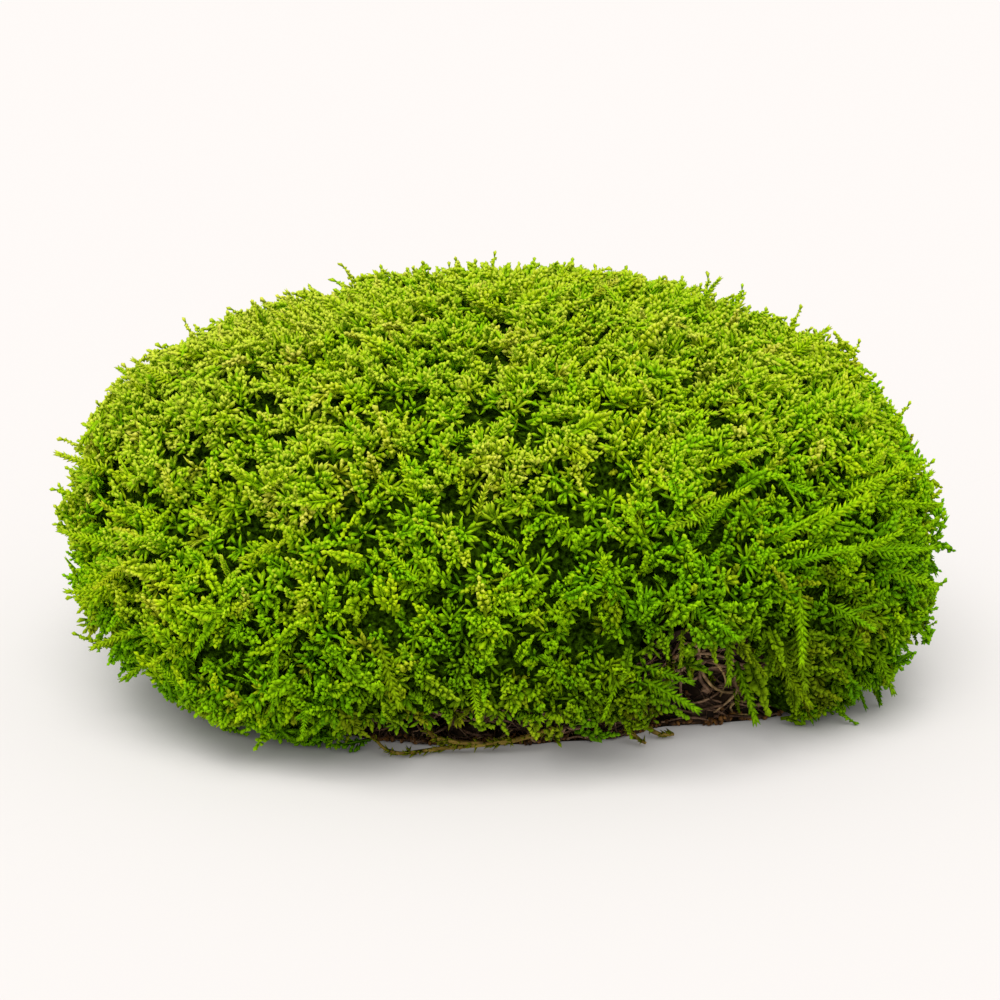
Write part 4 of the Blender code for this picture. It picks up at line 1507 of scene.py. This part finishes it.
hairs = []
for _ in range(RHIZOIDS_TRIED):
    azimuth = math.radians(rng.uniform(*RHIZOID_TURNS))
    heading = DOWNWARD + rng.normal(0, 0.8)
    hair = stem_on_wall(azimuth, rng.uniform(2, 13), heading, rng.uniform(2.5, 6), rng.uniform(0.05, 0.09),
                        rng.uniform(0.2, 1.3), step=0.9)
    if hair:
        hairs.append(hair)
points, triangles, growth = join_arrays(hairs)
rhizoids = mesh_piece("humus_rhizoids", points, triangles, growth)
print("rhizoids:", len(hairs), "hairs,", len(triangles), "triangles")

# %% [markdown]
# ## Scale leaves on the runners
#
# The bare runners aren't quite bare: small brown scale leaves lie along them, pointing to the tip. A texture
# could hint at them, but they break the outline, so the pointed leaf of the combs is used again. Leaves are
# dealt out by the area of the faces, so no part of a runner gets too many.

# %% Scale leaves
SCALE_COUNT = 150  # on a runner of full length
FULL_LENGTH = 30
SCALE_WAY = (-0.9, -0.5, 0.15)
SCALE_BROWN = 0.85

scales = []
for name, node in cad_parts.items():
    if name.startswith("runner"):
        node_points = points_of(node)
        node_faces = np.array([p.vertices[:] for p in node.data.polygons])
        middles = node_points[node_faces].mean(axis=1)
        sides = face_sides(node_points, node_faces)
        outward = unit(sides)
        areas = np.linalg.norm(sides, axis=1)
        reach_out = np.ptp(middles, axis=0).max() / FULL_LENGTH
        chosen = rng.choice(len(middles), round(SCALE_COUNT * min(reach_out, 1)), p=areas / areas.sum())
        heading = unit(np.array(SCALE_WAY) + 0.5 * rng.normal(size=(len(chosen), 3)))
        scales.append(copy_form(leaf, middles[chosen] - 0.1 * outward[chosen],
                                unit(0.7 * outward[chosen] + heading), rng.uniform(0.5, 1.15, len(chosen)),
                                0.1, 0.75))
points, triangles, growth = join_arrays(scales)
points[:, 2] = np.maximum(points[:, 2], LOOSE_CLEARANCE)
growth[:, 1] = SCALE_BROWN
runner_scales = mesh_piece("runner_scale_leaves", points, triangles, growth)
print("scale leaves:", len(triangles), "triangles")

# %% [markdown]
# ## Crumbs
#
# Rust-brown crumbs of humus sit in the wall and lie loose along its foot. A particle system could scatter
# them, but it would scatter them over the hidden parts as well. So one ball is squashed and shaken into a
# crumb, and its copies go where rays find the wall, most of them low.

# %% Crumbs
CRUMB_COUNT = 500
FRONT_CRUMB_COUNT = 440
FRONT_CRUMB_TURNS = (-122, -32)  # degrees
BACK_CRUMB_TURNS = (-20, 235)  # degrees
LOW_SHARE = 0.8

deselect_all()
bpy.ops.mesh.primitive_ico_sphere_add(subdivisions=1, radius=0.5 * MM)
crumb_ball = bpy.context.object
bpy.ops.object.mode_set(mode="EDIT")
bpy.ops.mesh.select_all(action="SELECT")
bpy.ops.transform.resize(value=(1.25, 0.85, 0.9))
bpy.ops.transform.vertex_random(offset=0.12 * MM, seed=4)
bpy.ops.object.mode_set(mode="OBJECT")
crumb = arrays_of(crumb_ball)
spots = []
while len(spots) < CRUMB_COUNT:
    turns = FRONT_CRUMB_TURNS if len(spots) < FRONT_CRUMB_COUNT else BACK_CRUMB_TURNS
    azimuth = math.radians(rng.uniform(*turns))
    low = rng.random() < LOW_SHARE
    height = rng.uniform(0.2, 0.9) if low else rng.uniform(1, 12)
    spot = wall_point(azimuth, height, rng.uniform(-0.1, 0.35 + 0.5 * low))
    if spot is not None:
        spots.append(spot)
spots = np.array(spots)
points, triangles, growth = copy_form(crumb, spots, unit(rng.normal(size=spots.shape)),
                                      rng.uniform(0.5, 1.1, len(spots)))
points[:, 2] = np.maximum(points[:, 2], LOOSE_CLEARANCE)
crumbs = mesh_piece("humus_crumbs", points, triangles, growth)
print("crumbs:", len(triangles), "triangles")

# %% [markdown]
# ## Living moss
#
# A fresh branchlet is pale at its tip and deep green where it is old, and every shoot has its own tone. Both
# were stored with the points while the shoots were laid, together with painted light and shade, so the
# material only has to turn them into colour.
# Fine flecks stand for the single leaves that are too small to build.

# %% Living moss


def growth_values(nodes, links):
    """The three growth values that were stored with the points."""
    stored = nodes.new("ShaderNodeAttribute")
    stored.attribute_name = "growth"
    parts = nodes.new("ShaderNodeSeparateColor")
    links.new(stored.outputs["Color"], parts.inputs["Color"])
    return parts.outputs


def mix_colors(nodes, links, factor, first, second, blend="MIX"):
    """Mixes two colours and gives the mixed output."""
    mix = nodes.new("ShaderNodeMix")
    mix.data_type = "RGBA"
    mix.blend_type = blend
    for name, value in (("Factor", factor), ("A", first), ("B", second)):
        target = next(s for s in mix.inputs if s.name == name and s.enabled)
        if isinstance(value, float):
            target.default_value = value
        else:
            links.new(value, target)
    return next(s for s in mix.outputs if s.enabled)


living, nodes, links, shader = new_material("living_moss", 0.5, 0.015)
growth_parts = growth_values(nodes, links)
youth_and_painted_light, brownness, tone = growth_parts["Red"], growth_parts["Green"], growth_parts["Blue"]
patches = noise_value(nodes, links, 55, Detail=3)
flecks = noise_value(nodes, links, 1400)
# The last stop of each ramp, at the very tips, is partly the pale young growth and partly a painted highlight.
fresh = ramp_color(nodes, links, youth_and_painted_light, (
    (0.0, (0.055, 0.170, 0.001)),
    (0.35, (0.140, 0.390, 0.002)),
    (0.70, (0.268, 0.590, 0.003)),
    (0.88, (0.375, 0.610, 0.006)),
    (1.0, (0.570, 0.680, 0.040)),
))
yellow = ramp_color(nodes, links, youth_and_painted_light, (
    (0.0, (0.140, 0.240, 0.001)),
    (0.35, (0.285, 0.505, 0.002)),
    (0.70, (0.475, 0.670, 0.005)),
    (0.88, (0.535, 0.665, 0.010)),
    (1.0, (0.670, 0.720, 0.080)),
))
olive = ramp_color(nodes, links, youth_and_painted_light, (
    (0.0, (0.060, 0.055, 0.003)),
    (0.40, (0.210, 0.210, 0.006)),
    (0.80, (0.500, 0.490, 0.020)),
    (1.0, (0.800, 0.760, 0.130)),
))
patch_share = ramp_color(nodes, links, patches, ((0.40, (0, 0, 0)), (0.62, (1, 1, 1))))
tone_shift = nodes.new("ShaderNodeMath")
tone_shift.operation = "MULTIPLY_ADD"
links.new(tone, tone_shift.inputs[0])
tone_shift.inputs[1].default_value = 1.2
tone_shift.inputs[2].default_value = -0.35
tone_share = nodes.new("ShaderNodeMath")
tone_share.operation = "MULTIPLY_ADD"
tone_share.use_clamp = True
links.new(patch_share, tone_share.inputs[0])
tone_share.inputs[1].default_value = 0.35
links.new(tone_shift.outputs["Value"], tone_share.inputs[2])
hue = mix_colors(nodes, links, tone_share.outputs["Value"], fresh, yellow)
aged = mix_colors(nodes, links, brownness, hue, olive)
fleck_tone = ramp_color(nodes, links, flecks, ((0.30, (0.72, 0.76, 0.70)), (0.70, (1.12, 1.10, 1.15))))
links.new(mix_colors(nodes, links, 1.0, aged, fleck_tone, "MULTIPLY"), shader.inputs["Base Color"])
for piece in (*moss_pieces, runner_scales):
    piece.data.materials.append(living)
print("living moss on", len(moss_pieces) + 1, "pieces")

# %% [markdown]
# ## Dark thatch
#
# The old growth under the shoots is brown-green, but it gets no light, so it is coloured nearly black as
# painted shade. It could be one flat colour, but where it shows at all it is broken up like small leaves, so a
# fine noise gives both its tone and its bumps.

# %% Dark thatch
dark, nodes, links, shader = new_material("thatch_painted_shade", 0.9, 0)
old_leaves = noise_value(nodes, links, 1500, Detail=3, Distortion=0.3)
# Painted shade: near-black greens, for old growth that the light doesn't reach.
shade = ramp_color(nodes, links, old_leaves, (
    (0.36, (0.003, 0.008, 0.0002)),
    (0.52, (0.022, 0.052, 0.001)),
    (0.70, (0.070, 0.155, 0.002)),
))
links.new(shade, shader.inputs["Base Color"])
leaf_bump = nodes.new("ShaderNodeBump")
leaf_bump.inputs["Distance"].default_value = 0.4 * MM
links.new(old_leaves, leaf_bump.inputs["Height"])
links.new(leaf_bump.outputs["Normal"], shader.inputs["Normal"])
thatch.data.materials.append(dark)
print("thatch finished")

# %% [markdown]
# ## Humus and dead stems
#
# Damp humus is almost black with brown clots, and dry stems range from grey to tan. The stored tone gives
# each stem its colour, as for the moss, so that neighbours differ and the web can be told from the wall.

# %% Humus
soil, nodes, links, shader = new_material("dark_humus", 0.85, 0.2)
shade = ramp_color(nodes, links, noise_value(nodes, links, 260, Detail=6), (
    (0.32, (0.004, 0.002, 0.001)),
    (0.50, (0.022, 0.012, 0.006)),
    (0.62, (0.075, 0.043, 0.025)),
    (0.75, (0.180, 0.105, 0.060)),
))
links.new(shade, shader.inputs["Base Color"])
clods.data.materials.append(soil)
print("clods finished")

# %% Dead stems, rhizoids and crumbs


def stem_material(name, stops, grain_scale):
    """Dry plant matter: a colour for each stem from its stored tone, broken by fine grain."""
    material, nodes, links, shader = new_material(name, 0.6, 0.3)
    own_color = ramp_color(nodes, links, growth_values(nodes, links)["Red"], stops)
    grain = noise_value(nodes, links, grain_scale)
    stain = ramp_color(nodes, links, grain, ((0.35, (0.25, 0.22, 0.20)), (0.65, (1.0, 1.0, 1.0))))
    links.new(mix_colors(nodes, links, 1.0, own_color, stain, "MULTIPLY"), shader.inputs["Base Color"])
    return material


dry = stem_material("dead_stem", (
    (0.0, (0.060, 0.030, 0.013)),
    (0.35, (0.19, 0.100, 0.055)),
    (0.60, (0.36, 0.210, 0.125)),
    (0.80, (0.56, 0.360, 0.200)),
    (1.0, (0.68, 0.470, 0.170)),
), 700)
dead_stems.data.materials.append(dry)
rhizoids.data.materials.append(dry)
rust = stem_material("rusty_crumb", (
    (0.0, (0.09, 0.038, 0.010)),
    (0.6, (0.30, 0.130, 0.025)),
    (1.0, (0.60, 0.290, 0.065)),
), 900)
crumbs.data.materials.append(rust)
print("dead stems, rhizoids and crumbs finished")

# %% [markdown]
# ## Bark of the runners
#
# The bare runners are dry and tan, with darker stains. The solids have the right form already, so they stay,
# and only their plain colour is changed for one that a noise breaks up.

# %% Runners
bark, nodes, links, shader = new_material("runner_bark", 0.55, 0.3)
bark_tone = ramp_color(nodes, links, noise_value(nodes, links, 500), (
    (0.35, (0.100, 0.055, 0.006)),
    (0.55, (0.340, 0.225, 0.025)),
    (0.70, (0.500, 0.370, 0.055)),
))
links.new(bark_tone, shader.inputs["Base Color"])
for name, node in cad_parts.items():
    if name.startswith("runner"):
        node.data.materials.clear()
        node.data.materials.append(bark)
        print("bark on", name)

# %% [markdown]
# ## Attach the pieces
#
# Each piece is told what it moves with, and the solids that the pieces dress are hidden.

# %% Ride and finish
for piece in (*moss_pieces, thatch):
    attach(piece, "root")
    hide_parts("moss_cushion")
for piece in (clods, dead_stems, rhizoids, crumbs):
    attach(piece, "root")
    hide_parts("humus_pad")
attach(runner_scales, "root")
bpy.context.view_layer.update()
